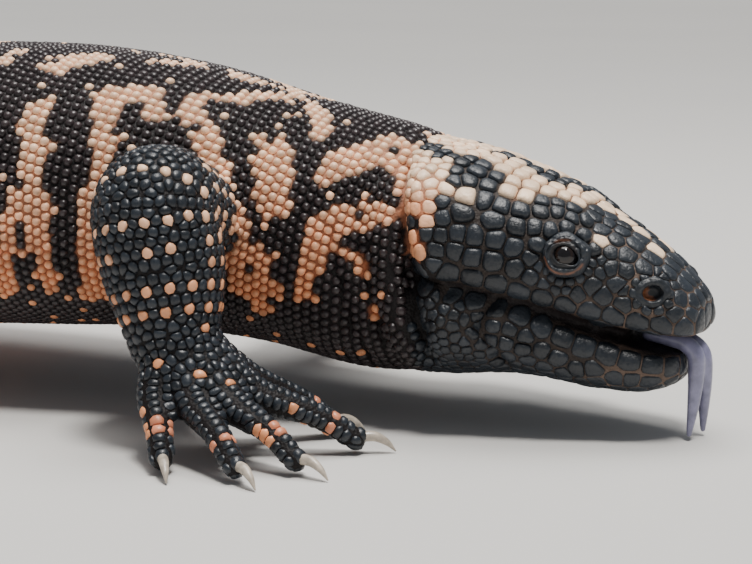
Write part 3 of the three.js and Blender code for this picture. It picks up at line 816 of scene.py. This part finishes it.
def head_roots():
    """Rows of plates across both halves of the head, clear of the lips, and round the lips and openings."""
    found = []
    for (rows, shape, lip, _), start, sizes, chart_low in zip(
            HALVES, (1.4, 6.2), (UPPER_SPACING, JAW_SPACING), (0.0, 0.5)):
        backs = [start]
        while backs[-1] < HEAD_END:
            backs.append(backs[-1] + float(np.interp(backs[-1], *sizes)) * HEAD_ROW)
        backs = np.array(backs)
        grid, angles = spread(backs, around(120))
        gap = np.interp(backs, *sizes)
        rings = head_points(rows, shape, grid, angles, -HEAD_DEPTH)
        part, row = ring_roots(rings, gap, gap, CROWN_PLATE, HEAD_PIECE)
        height = part[0][:, 2] - through(rows, backs)[row, lip]
        clear = height > 5.6 if lip == 1 else height < -5.0
        part = [column[clear] for column in part]
        part[3] = part[3] * np.array([1, 0.4]) + np.array([0, chart_low])
        found.append(part)
    for half, lift, chart in zip(HALVES, (2.9, -2.4), (0.45, 0.95)):
        found.append(lip_roots(half, lift, chart))
    for opening, chart in zip(OPENINGS, (0.42, 0.48, 0.92, 0.98)):
        found.append(opening_roots(opening, chart))
    return found


def opening_roots(opening, chart):
    """Granules round an opening, and brow plates over an eye."""
    centre, look, clear = opening
    side, up = sides_of(look)
    turn = around(int(2 * math.pi * (clear + 0.9) / 2.3))
    brow = np.zeros(len(turn), bool)
    if clear == EYE_CLEAR:
        turn = np.concatenate([np.radians([18, 54, 90, 126, 162]), np.linspace(3.35, 6.07, 8)])
        brow = turn < 3
    away = np.where(brow, clear + 1.5, clear + 0.8)[:, None]
    across, rise = np.cos(turn)[:, None], np.sin(turn)[:, None]
    ring = centre + away * (across * side * 1.04 + rise * up * 0.96)
    charts = np.column_stack([turn / 7 + 0.05, np.full(len(turn), chart)])
    size, kind = np.where(brow, BROW_SIZE, GRANULE_SIZE), np.where(brow, BROW_PLATE, GRANULE)
    return rooted(ring, size, kind, charts, HEAD_PIECE)


def lip_roots(half, lift, chart):
    """One row of plates along a lip, from one corner of the mouth round the snout to the other."""
    rows, shape, lip, _ = half
    first = rows[0, 0] + 0.02
    backs = np.concatenate([np.linspace(57, first, 260), np.linspace(first, 57, 260)])
    level = through(rows, backs)[:, lip] + lift
    side = np.repeat(SIDES, 260) * width_at(rows, shape, backs, level, -HEAD_DEPTH)
    points = in_head(backs, side, level)
    run = run_along(points)
    count = int(run[-1] / LABIAL)
    shares = (np.arange(count) + 0.5) / count
    charts = np.stack([shares, np.full(count, chart)], -1)
    return rooted(walk(points, run, shares * run[-1]), LABIAL, LIP_PLATE, charts, HEAD_PIECE)


def nearest_tree(spots, numbers):
    """A tree of the numbered places, for finding the nearest."""
    tree = KDTree(len(numbers))
    for i in numbers:
        tree.insert(Vector(spots[i]), int(i))
    tree.balance()
    return tree


def behind_fold(points):
    """How far behind the deep fold at the back of the head each place is."""
    back1, z1, back2, z2, _, _ = FOLDS[0]
    return behind_snout(points) - back2 - (points[:, 2] - z2) / (z1 - z2) * (back1 - back2)


def in_neck_fold(points):
    """True at the bottom of that fold."""
    _, top, _, low, _, _ = FOLDS[0]
    level = (points[:, 2] < top - 4) & (points[:, 2] > low + 2)
    return (np.abs(behind_fold(points)) < 1.1) & level & (np.abs((points - SNOUT) @ HEAD_SIDE) < 34)


def settle(skin, parts, generator):
    """Brings roots onto the skin and drops those that were buried, crowd another or stand in an opening."""
    roots, spaces, kinds, charts, pieces = (np.concatenate([part[k] for part in parts]) for k in range(5))
    rank, stray = KINDS[kinds, :2].T
    roots = roots + (generator.random(roots.shape) - 0.5) * 2 * stray[:, None]
    tree = BVHTree.FromObject(skin, bpy.context.evaluated_depsgraph_get())
    found = [tree.find_nearest(Vector(p)) for p in placed(roots)]
    spots = np.array([hit[0] for hit in found]) / MM - SHIFT
    normals = np.array([hit[1] for hit in found])
    moved = np.array([hit[3] for hit in found]) / MM
    rim = np.isin(kinds, (GRANULE, BROW_PLATE))
    keep = ((moved < BURIED) | rim) & (spots[:, 2] > LOWEST_ROOT) & ~in_neck_fold(spots)
    keep &= (kinds != CROWN_PLATE) | (behind_fold(spots) < 0.6)
    for centre, look, clear in OPENINGS:
        keep &= (from_axis(spots, centre, look) > clear) | rim | (normals @ look < 0)
    order = np.flatnonzero(keep)
    near = nearest_tree(spots, order)
    dropped = np.zeros(len(roots), bool)
    for i in order:
        for _, j, gap in near.find_range(Vector(spots[i]), 0.72 * spaces[i]):
            crowded = gap < CROWDED * (spaces[i] + spaces[j])
            if j != i and crowded and not dropped[j] and (rank[j], -j) > (rank[i], -i):
                dropped[i] = True
                break
    keep &= ~dropped
    return [column[keep] for column in (spots, normals, spaces, kinds, charts, pieces)]


def in_mouth(points):
    """True between the lips, where the skin has no scales."""
    back = behind_snout(points)
    top = through(UPPER_HEAD, np.clip(back, 0, 60))[:, 1] + 0.5
    bottom = through(LOWER_JAW, np.clip(back, 4.2, 60))[:, 2] - 0.4
    return (back < MOUTH_CORNER) & (points[:, 2] < top) & (points[:, 2] > bottom)


FILL_CELL = 5.0  # side of the cells by which near fillers are found


def fill_gaps(skin, settled):
    """A bead for each bare place: at the skin's vertices that are too far from every root, farthest first."""
    spots, _, spaces, kinds, charts, pieces = settled
    tree = nearest_tree(spots, range(len(spots)))
    points, away = read_skin(skin)
    hits = [tree.find(Vector(p)) for p in points]
    near, gap = np.array([hit[1] for hit in hits]), np.array([hit[2] for hit in hits])
    reach = spaces * KINDS[kinds, 2]
    bare = (gap > reach[near]) & (points[:, 2] > LOWEST_ROOT) & ~in_mouth(points) & ~in_neck_fold(points)
    for centre, look, clear in OPENINGS:
        bare &= from_axis(points, centre, look) > clear + 0.8
    order = np.flatnonzero(bare)
    cells, chosen = {}, []
    for i in order[np.argsort(-gap[order])]:
        x, y, z = np.floor(points[i] / FILL_CELL).astype(int)
        close = [j for dx, dy, dz in np.ndindex(3, 3, 3)
                 for j in cells.get((x + dx - 1, y + dy - 1, z + dz - 1), ())]
        if all(np.linalg.norm(points[i] - points[j]) > spaces[near[i]] * 0.8 for j in close):
            cells.setdefault((x, y, z), []).append(i)
            chosen.append(i)
    own = near[chosen]
    beside = [[j for _, j, _ in tree.find_n(Vector(points[i]), 3)] for i in chosen]
    new = [points[chosen], away[chosen], np.minimum(spaces[own], 3.6), FILLERS[kinds[own]],
           np.array([charts[b].mean(0) for b in beside]).reshape(-1, 2), pieces[own]]
    return [np.concatenate(pair) for pair in zip(settled, new)]


def outlines(spots, normals, spaces, reaches, powers, sides, neighbours=9):
    """Each plate's outline: at every angle, a smooth minimum of the ways to the lines between neighbours."""
    tree = nearest_tree(spots, range(len(spots)))
    near = np.array([[j for _, j, _ in tree.find_n(Vector(spot), neighbours + 1)][1:] for spot in spots])
    tangent = np.cross(normals, UP)
    flat = np.linalg.norm(tangent, axis=1) < 0.15
    tangent[flat] = np.cross(normals[flat], np.array([0.0, 1.0, 0.0]))
    tangent = unit(tangent)
    other = np.cross(normals, tangent)
    off = spots[near] - spots[:, None]
    u, v = (off * tangent[:, None]).sum(-1), (off * other[:, None]).sum(-1)
    gap = np.linalg.norm(off, axis=-1)
    same_side = (normals[near] * normals[:, None]).sum(-1) > 0.15
    share = spaces[:, None] / (spaces[:, None] + spaces[near])
    half = np.where(same_side, gap * share, 50.0)
    angles = around(sides)
    lean = np.cos(angles[None, :, None] - np.arctan2(v, u)[:, None, :])
    reach = np.where(lean > 0.08, half[:, None, :] / np.maximum(lean, 0.08), 80.0)
    reach = np.concatenate([reach, np.broadcast_to(reaches[:, None, None], reach.shape[:2] + (1,))], -1)
    power = powers[:, None, None]
    radius = (reach**-power).sum(-1) ** (-1 / powers[:, None])
    return radius, tangent, other, angles


def drape(tree, spots, ring, radius):
    """The way from each place of a flat outline to the skin, at most 0.75 of the outline's own radius."""
    rim = spots[:, None] + ring * radius[..., None]
    hits = [tree.find_nearest(Vector(p))[0] for p in placed(rim.reshape(-1, 3))]
    fall = np.array(hits).reshape(rim.shape) / MM - SHIFT - rim
    return unit(fall) * np.minimum(np.linalg.norm(fall, axis=-1), 0.75 * radius)[..., None]


PATCH = 0.0014  # radius of a bead's patch on the unwrap
PROFILES = {  # rings of a dome as (share of the outline, share of the height)
    "bead": ((1.0, -0.45), (0.88, 0.42), (0.52, 0.88), (0.0, 1.0)),
    "pebble": ((1.0, -0.4), (0.93, 0.46), (0.68, 0.86), (0.0, 1.0)),
    "plate": ((1.0, -0.5), (0.96, 0.28), (0.86, 0.66), (0.68, 0.87), (0.36, 0.98), (0.0, 1.0)),
}


def build_domes(name, tree, spots, normals, charts, colours, heights, profile, outline):
    """Domes: rings that rise and close in over each root, and fall to the skin by their share squared."""
    radius, tangent, other, angles = outline
    sides, rows = len(angles), PROFILES[profile]
    ring = np.cos(angles)[None, :, None] * tangent[:, None] + np.sin(angles)[None, :, None] * other[:, None]
    fall = drape(tree, spots, ring, radius)
    verts = []
    for share, rise in rows[:-1]:
        away = ring * (radius * share)[..., None] + fall * share**2
        verts.append(spots[:, None] + away + normals[:, None] * (heights * rise)[:, None, None])
    verts.append((spots + normals * heights[:, None])[:, None])
    points = np.concatenate(verts, axis=1)
    points[..., 2] = np.maximum(points[..., 2], 0.0)
    per, top = points.shape[1], (len(rows) - 2) * sides
    level, k = spread(np.arange(0, top, sides), np.arange(sides))
    after = (k + 1) % sides
    quads = np.stack([level + k, level + after, level + sides + after, level + sides + k], -1).reshape(-1, 4)
    fan = np.stack([top + k[0], top + after[0], np.full(sides, per - 1)], -1)
    base = (np.arange(len(spots)) * per)[:, None, None]
    faces = (base + quads).reshape(-1, 4).tolist() + (base + fan).reshape(-1, 3).tolist()
    thing = make_object(name, placed(points.reshape(-1, 3)), faces)
    set_colours(thing.data, np.repeat(colours, per, axis=0))
    circle = np.stack([np.cos(angles), np.sin(angles)], -1)
    patch = np.concatenate([*[PATCH * share * circle for share, _ in rows[:-1]], np.zeros((1, 2))])
    places = 0.01 + charts[:, None] * 0.98 + patch[None]
    corners = np.empty(len(thing.data.loops), dtype=np.int64)
    thing.data.loops.foreach_get("vertex_index", corners)
    layer = thing.data.uv_layers.new(name="OFBake")
    layer.uv.foreach_set("vector", places.reshape(-1, 2)[corners].astype(np.float32).ravel())
    return thing


# Materials
def node_material(name, roughness, specular=0.5, coat=0.0):
    """A material, its shader, a function that feeds a node, and one that adds a node and gives its output."""
    material = bpy.data.materials.new(name)
    material.use_nodes = True
    tree = material.node_tree
    shader = tree.nodes["Principled BSDF"]

    def feed(node, inputs):
        for socket, source in inputs.items():
            if isinstance(source, bpy.types.NodeSocket):
                tree.links.new(source, node.inputs[socket])
            else:
                node.inputs[socket].default_value = source

    def add(kind, output, inputs, **values):
        node = tree.nodes.new(kind)
        for key, value in values.items():
            setattr(node, key, value)
        feed(node, inputs)
        return node.outputs[output]

    feed(shader, {"Roughness": roughness, "Specular IOR Level": specular, "Coat Weight": coat})
    return material, shader, feed, add


def span(value, *ends):
    """Inputs of a node that turns one range of a value into another."""
    return {"Value": value, **dict(zip(("From Min", "From Max", "To Min", "To Max"), ends))}


def tinted_material(name, roughness, specular, cloud, ends):
    """The piece's own tint times a cloud: noise of a scale and detail, turned from one range into another."""
    material, shader, feed, add = node_material(name, roughness, specular)
    place = add("ShaderNodeTexCoord", "Object", {})
    tint = add("ShaderNodeAttribute", "Color", {}, attribute_name="tint")
    noise = add("ShaderNodeTexNoise", "Fac", {"Vector": place, "Scale": cloud[0], "Detail": cloud[1]})
    tone = add("ShaderNodeMapRange", "Result", span(noise, *ends))
    mixed = add("ShaderNodeMix", "Result", {"Factor": 1.0, "A": tint, "B": tone},
                data_type="RGBA", blend_type="MULTIPLY")
    feed(shader, {"Base Color": mixed})
    return material, shader, feed, add, place


def bead_material(name, roughness, grain_scale, bump):
    """Horn: the bead's own tint, clouded, with fine pits and dust in the roughness."""
    cloud, ends = (260.0, 3.0), (0.3, 0.7, 0.78, 1.18)
    material, shader, feed, add, place = tinted_material(name, roughness, 0.5, cloud, ends)
    grain = add("ShaderNodeTexNoise", "Fac", {"Vector": place, "Scale": grain_scale, "Detail": 4.0})
    dust = add("ShaderNodeMapRange", "Result", span(grain, 0.3, 0.7, roughness - 0.08, roughness + 0.14))
    relief = add("ShaderNodeBump", "Normal", {"Height": grain, "Strength": bump, "Distance": 0.0002})
    feed(shader, {"Roughness": dust, "Normal": relief})
    return material


def skin_material():
    """Skin between the beads: its own tint, clouded more strongly, with small granules."""
    cloud, ends = (420.0, 5.0), (0.0, 1.0, 0.55, 1.5)
    material, shader, feed, add, place = tinted_material("skin", 0.62, 0.25, cloud, ends)
    granules = add("ShaderNodeTexVoronoi", "Distance", {"Vector": place, "Scale": 1500.0}, feature="F1")
    relief = add("ShaderNodeBump", "Normal", {"Height": granules, "Strength": 0.6, "Distance": 0.0003})
    feed(shader, {"Normal": relief})
    return material


def plain_material(name, colour, roughness, coat, noise_scale, variation, bump):
    """A smooth wet or horny finish with a little clouding and relief."""
    material, shader, feed, add = node_material(name, roughness, coat=coat)
    place = add("ShaderNodeTexCoord", "Object", {})
    cloud = add("ShaderNodeTexNoise", "Fac", {"Vector": place, "Scale": noise_scale, "Detail": 3.0})
    tint = add("ShaderNodeValToRGB", "Color", {"Fac": cloud})
    ends = zip(tint.node.color_ramp.elements, (0.3, 0.7), (1 - variation, 1 + variation))
    for element, position, factor in ends:
        element.position = position
        element.color = (*np.minimum(np.array(colour) * factor, 1), 1)
    relief = add("ShaderNodeBump", "Normal", {"Height": cloud, "Strength": bump, "Distance": 0.0002})
    feed(shader, {"Base Color": tint, "Normal": relief})
    return material


# Eyes, claws and tongue
def build_eye(name, sign):
    """A ball with a slightly raised clear front, turned the way the eye looks."""
    turn, lift = spread(np.linspace(0, math.pi, 36)[1:-1], around(48))
    look = eye_look(sign)
    side, up = sides_of(look)
    radius = (EYE_RADIUS - 0.05) * (1 + 0.06 * smooth_step(0.85, 1.0, np.cos(turn)))
    ways = ((look, np.cos(turn)), (side, np.sin(turn) * np.cos(lift)), (up, np.sin(turn) * np.sin(lift)))
    grid = eye_centre(sign) + sum((radius * share)[..., None] * way for way, share in ways)
    verts, faces = closed_grid(placed(grid))
    out = unit(verts / MM - SHIFT - eye_centre(sign)) @ look
    iris = smooth_step(math.cos(0.62), math.cos(0.55), out) - smooth_step(math.cos(0.42), math.cos(0.36), out)
    return closed_piece(name, verts, faces, PUPIL + iris[:, None] * (IRIS - PUPIL))


# Profiles about an opening's axis: step, distance from the axis, rise along it
LID_PROFILE = np.array([
    [0, 2.05, 2.2], [1, 2.15, 2.75], [2, 2.45, 3.0], [3, 2.85, 2.95], [4, 3.2, 2.6], [5, 3.6, 2.75],
    [6, 4.1, 2.55], [7, 4.7, 1.9], [8, 5.1, 0.8], [9, 4.4, 0.0], [10, 3.2, 0.2], [11, 2.2, 1.2],
])
NOSTRIL_PROFILE = np.array([
    [0, 0.1, -1.9], [1, 1.0, -1.8], [2, 1.55, -1.0], [3, 1.8, -0.1], [4, 2.15, 0.2], [5, 2.7, 0.15],
    [6, 3.4, -0.5], [7, 3.0, -2.4], [8, 0.1, -3.0],
])


def turned_profile(profile, steps, centre, look, stretch, change):
    """A profile turned about an axis: change gives what its rise gains and the factor on its distance."""
    side, up = sides_of(look)
    step, turn = spread(np.linspace(0, profile[-1, 0], steps), around(96))
    away, rise = np.moveaxis(through(profile, step), -1, 0)
    relief, factor = change(away, turn)
    rise = rise + relief * (step < profile[-1, 0] * 0.7)
    across, height = away * factor * np.cos(turn) * stretch[0], away * factor * np.sin(turn) * stretch[1]
    grid = centre + rise[..., None] * look + across[..., None] * side + height[..., None] * up
    lumps = value_noise(grid, 1.5, 11) - 0.5 + 0.5 * (value_noise(grid, 0.7, 12) - 0.5)
    sway = (value_noise(grid, 2.6, 13) - 0.5)[..., None] * (grid - centre)
    outer = smooth_step(2.2, 3.2, away)[..., None]
    return grid + (0.55 * lumps[..., None] * look + 0.16 * sway) * outer, away * factor, turn


def build_lids(name, sign):
    """Thick lids: an opening with a low front corner, and a crease and two rows of granules round it."""
    def ahead(turn):
        return turn if sign < 0 else math.pi - turn

    def change(away, turn):
        rim = smooth_step(3.4, 2.3, away)
        corner = np.maximum(np.cos(ahead(turn) + 0.5), 0) ** 6
        wrinkles = 0.08 * np.sin(away * 11 + 2.2 * np.sin(turn * 3 + 0.7)) * smooth_step(2.6, 3.2, away)
        beads = 0.30 * np.abs(np.cos(turn * 8.5)) * bell(away, 3.75, 0.35)
        beads = beads + 0.22 * np.abs(np.sin(turn * 10)) * bell(away, 4.5, 0.3)
        upper = 0.3 * smooth_step(0.1, 0.9, np.sin(ahead(turn) - 0.4)) * smooth_step(2.1, 3.0, away)
        factor = 1 + rim * (0.5 * corner - 0.12 * np.sin(ahead(turn) + 0.5) ** 2)
        sway = 1 + 0.03 * np.sin(2 * turn + 1.1) + 0.02 * np.sin(5 * turn)
        return wrinkles + beads + upper, factor * sway

    grid, away, turn = turned_profile(LID_PROFILE, 44, eye_centre(sign), eye_look(sign), (1.0, 0.97), change)
    low = bell(away, 4.25, 0.22) * smooth_step(0.2, -0.3, np.sin(ahead(turn) + 0.3)) * 0.8
    rim = bell(away, 2.5, 0.2) * 0.04
    high = bell(away, 3.25, 0.3) * smooth_step(0.75, 0.95, np.sin(ahead(turn) - 0.1)) * 0.8
    share = np.clip(low + rim + high, 0, 1) * smooth_step(0.25, 0.6, value_noise(grid, 1.2, 14))
    base = BLUE_BLACK * (1.1 - 0.8 * smooth_step(3.3, 2.6, away))[..., None]
    tint = base * (1 - share[..., None]) + FOLD_BROWN * share[..., None]
    return closed_piece(name, *closed_ring(placed(grid)), tint.reshape(-1, 3))


def build_nostril(name, sign):
    """A pit with a raised rim, brown on one side of its wall."""
    def change(away, turn):
        return 0.12 * np.cos(turn * 5) * (away > 1.8), 1 + 0.05 * np.sin(2 * turn + 1.1)

    centre, look = nostril_centre(sign), nostril_look(sign)
    grid, away, turn = turned_profile(NOSTRIL_PROFILE, 36, centre, look, (1.15, 0.98), change)
    wall = smooth_step(0.2, 0.8, (centre - grid) @ look) * smooth_step(-0.2, 0.5, np.cos(turn - 3.6))
    wall = (wall * (away > 0.7) * (away < 2.0))[..., None]
    tint = BLUE_BLACK * 0.9 * (1 - wall) + FOLD_BROWN * wall
    # The pit's two end points, its floor among them, are darker still: painted shade deep in the opening.
    tint = np.concatenate([tint.reshape(-1, 3), np.tile(BLUE_BLACK * 0.3, (2, 1))])
    return closed_piece(name, *closed_grid(placed(grid)), tint)


def build_claw(name, limb, number):
    """A tapering horn that bends down to the floor."""
    knuckle = np.array(limb["knuckles"][number], float)
    tip = np.array([*limb["tips"][number], 0.0])
    way = unit((tip - knuckle) * np.array([1, 1, 0]))
    knots = [
        (*(tip + way * 1.0 + UP * 3.7), 1.15),
        (*(tip + way * CLAW_LENGTH * 0.55 + UP * 3.6), 1.05),
        (*(tip + way * CLAW_LENGTH * 0.9 + UP * 2.3), 0.7),
        (*(tip + way * CLAW_LENGTH * 1.15 + UP * 0.5), 0.16),
    ]
    path, _ = path_through(knots, 24)
    return closed_piece(name, *closed_grid(placed(tube_points(round_ended(path, 4), around(16)))))


# A prong of the tongue: behind the snout, to the side, height, radius, and how far the near prong is ahead
TONGUE = (
    (13, 1.1, 21.9, 1.4, 0), (8, 1.4, 21.3, 1.65, 0), (4.6, 1.5, 20.6, 1.85, 0.1), (2.2, 1.5, 18.2, 1.9, 0.3),
    (1.8, 1.5, 13.5, 1.75, 0.5), (2.0, 2.0, 7.5, 1.3, 0.6), (2.4, 2.9, 1.4, 0.6, 0.7),
)


def build_tongue():
    """Two soft prongs side by side that part towards their tips, fused where they touch."""
    prongs = []
    for sign in SIDES:
        knots = [(*in_head(back - sign * lag, sign * side, height), radius)
                 for back, side, height, radius, lag in TONGUE]
        path, _ = path_through(knots, 60)
        prongs.append(closed_grid(tube_points(round_ended(path), around(20))))
    return fuse("tongue_piece", prongs, 0.28, 4)


def finish_piece(thing, material, slot, *nodes):
    """Gives a piece its material, fixes it to the animal, and hides the nodes it replaces. Its slot is not
    used.
    """
    thing.data.materials.append(material)
    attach(thing, "root")
    if nodes:
        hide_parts(*nodes)


def build_hide(skin, settled, colours, generator):
    """A dome on every root, in pieces by region. Plates of the snout lie flat and square."""
    spots, normals, spaces, kinds, charts, pieces = settled
    tree = BVHTree.FromObject(skin, bpy.context.evaluated_depsgraph_get())
    height, reach, power, shrink = KINDS[kinds, 3:].T
    crown = kinds == CROWN_PLATE
    back = behind_snout(spots)
    snout = (crown | (kinds == LIP_PLATE)) & (back < SNOUT_END)
    flat, square, seam = SNOUT_FLAT
    height = np.select([snout & (back < TIP_END), snout, crown], [TIP_FLAT, flat, 0.3 * spaces - 0.2], height)
    height = height * (1 - 0.55 * smooth_step(-0.35, -0.8, normals[:, 2]))
    height = height * (1 + (generator.random(len(spots)) - 0.5) * np.where(crown, 0.5, 0.2))
    power, shrink = np.where(snout, square, power), np.where(snout, seam, shrink)
    cuts = {sides: outlines(spots, normals, spaces, spaces * reach, power, sides) for sides in (9, 18)}
    horn = bead_material("horn_beads", 0.33, 2600.0, 0.3)
    plate = bead_material("head_plates", 0.36, 1500.0, 0.9)
    shapes = [(name, "bead", 9, horn, "hide") for name in TRUNK_PIECES]
    shapes += [(f"beads_{name}", "pebble", 9, horn, "hide") for name in LIMBS]
    shapes.append(("head_plates", "plate", 18, plate, "face"))
    for number, (name, profile, sides, material, slot) in enumerate(shapes):
        radius, tangent, other, angles = cuts[sides]
        own = pieces == number
        outline = ((radius * shrink[:, None])[own], tangent[own], other[own], angles)
        columns = [column[own] for column in (spots, normals, charts, colours, height)]
        finish_piece(build_domes(name, tree, *columns, profile, outline), material, slot)


def paint_skin(skin, spots, kinds, colours, light):
    """The skin's tint: a darker tone of the light beads' own between them, dark elsewhere, tan on the muzzle,
    and near black between the lips as painted shade.
    """
    points, _ = read_skin(skin)
    near = nearest_tree(spots, range(len(spots)))
    closest = np.array([[j for _, j, _ in near.find_n(Vector(p), 3)] for p in points])
    first = closest[:, 0]
    pale = light[first] & (light[closest].sum(1) > 1) & np.isin(kinds[first], (TRUNK_BEAD, CROWN_PLATE))
    head = smooth_step(44, 50, points[:, 0])[:, None]
    patchy = smooth_step(0.35, 0.6, value_noise(points, 5, 9))[:, None]
    muzzle = head * smooth_step(66, 84, points[:, 0])[:, None] * patchy
    dark = BROWN_BLACK * 0.25 * (1 - head) + (HEAD_SEAM * (1 - muzzle) + SEAM_TAN * muzzle) * head
    # Near black between the lips: painted shade in the gap of the mouth.
    dark = np.where(in_mouth(points)[:, None], BROWN_BLACK * 0.4, dark)
    set_colours(skin.data, np.where(pale[:, None], colours[first] * UNDER_LIGHT * (1 - 0.72 * head), dark))


def build_animal():
    """Skin, beads, eyes, claws and tongue."""
    generator = np.random.default_rng(7)
    skin = build_skin()
    parts = trunk_roots() + head_roots()
    for number, limb in enumerate(LIMBS.values()):
        parts += limb_roots(limb, FIRST_LIMB + number)
    settled = fill_gaps(skin, settle(skin, parts, generator))
    spots, kinds = settled[0], settled[3]
    colours, light = bead_colours(spots, kinds, generator)
    build_hide(skin, settled, colours, generator)
    paint_skin(skin, spots, kinds, colours, light)
    finish_piece(skin, skin_material(), "hide", "neck", "torso_front", "torso_middle", "torso_rear",
                 "tail_base", "tail_middle", "tail_tip", "head", "jaw",
                 *[f"{limb}_{part}" for limb in LIMBS for part in ("upper", "lower", "foot")])
    wet = bead_material("eye_gloss", 0.06, 900.0, 0.0)
    horny = plain_material("claw_horn", (0.44, 0.38, 0.31), 0.34, 0.2, 700, 0.3, 0.3)
    moist = plain_material("tongue_flesh", (0.20, 0.195, 0.30), 0.28, 0.4, 500, 0.25, 0.3)
    lid_skin = bead_material("lid_skin", 0.42, 1900.0, 0.6)
    for side, sign in (("right", -1), ("left", 1)):
        finish_piece(build_eye(f"eyeball_{side}", sign), wet, "eye", f"eye_{side}")
        finish_piece(build_lids(f"lids_{side}", sign), lid_skin, "face")
        finish_piece(build_nostril(f"nostril_{side}", sign), lid_skin, "face")
    for name, limb in LIMBS.items():
        for number in range(5):
            claw = build_claw(f"{name}_horn_{number + 1}", limb, number)
            finish_piece(claw, horny, "claw", f"{name}_claw_{number + 1}")
    finish_piece(build_tongue(), moist, "tongue", "tongue")


# Floor, light and camera
VIEW_AZIMUTH = math.radians(15)
VIEW_ELEVATION = math.radians(10)
VIEW_DISTANCE = 450.0
VIEW_SCALE = 0.21  # millimetres to a pixel of the photo, at the aim point
VIEW_AIM = np.array([33.4, -31.1, 33.7])
PHOTO_WIDTH = 752
SENSOR = 36.0


def stand(name, data, place, way):
    """A camera or a lamp at a place in metres, turned to point a way."""
    thing = bpy.data.objects.new(name, data)
    thing.location = Vector(place)
    thing.rotation_mode = "QUATERNION"
    thing.rotation_quaternion = Vector(way).to_track_quat("-Z", "Y")
    bpy.context.scene.collection.objects.link(thing)
    return thing


def build_camera():
    """The photo's view: a long lens from a little ahead of the right side and a little above."""
    back = np.array([math.sin(VIEW_AZIMUTH) * math.cos(VIEW_ELEVATION),
                     -math.cos(VIEW_AZIMUTH) * math.cos(VIEW_ELEVATION), math.sin(VIEW_ELEVATION)])
    data = bpy.data.cameras.new("camera")
    data.sensor_width = SENSOR
    data.lens = VIEW_DISTANCE / VIEW_SCALE / PHOTO_WIDTH * SENSOR
    data.clip_start = 0.01
    data.clip_end = 20
    bpy.context.scene.camera = stand("camera", data, placed(VIEW_AIM + back * VIEW_DISTANCE), -back)


def build_light(name, kind, place, aim, energy, colour, **size):
    """A lamp at a place that points at another."""
    data = bpy.data.lights.new(name, kind)
    for key, value in {"energy": energy, "color": colour, **size}.items():
        setattr(data, key, value)
    stand(name, data, place, Vector(aim) - Vector(place))


def build_studio():
    """A pale floor, a soft grey world, a high sun and a large weak lamp overhead."""
    half = 12.0
    corners = [(-half, -half, 0), (half, -half, 0), (half, half, 0), (-half, half, 0)]
    floor = make_object("floor", corners, [(0, 1, 2, 3)], smooth=False)
    floor.data.materials.append(plain_material("floor_paint", (0.60, 0.59, 0.57), 0.8, 0.0, 3, 0.02, 0.0))
    world = bpy.data.worlds.new("world")
    world.use_nodes = True
    sky = world.node_tree.nodes["Background"]
    sky.inputs["Color"].default_value = (0.66, 0.70, 0.76, 1)
    sky.inputs["Strength"].default_value = 0.36
    bpy.context.scene.world = world
    build_light("key", "SUN", (0.2, -0.2, 1.1), (0, 0, 0), 3.2, (1.0, 0.97, 0.93), angle=0.22)
    build_light("over", "AREA", (0.12, 0.1, 0.75), (0.05, 0, 0.04), 6, (1.0, 0.98, 0.95), size=0.5)


build_camera()
build_studio()
build_animal()
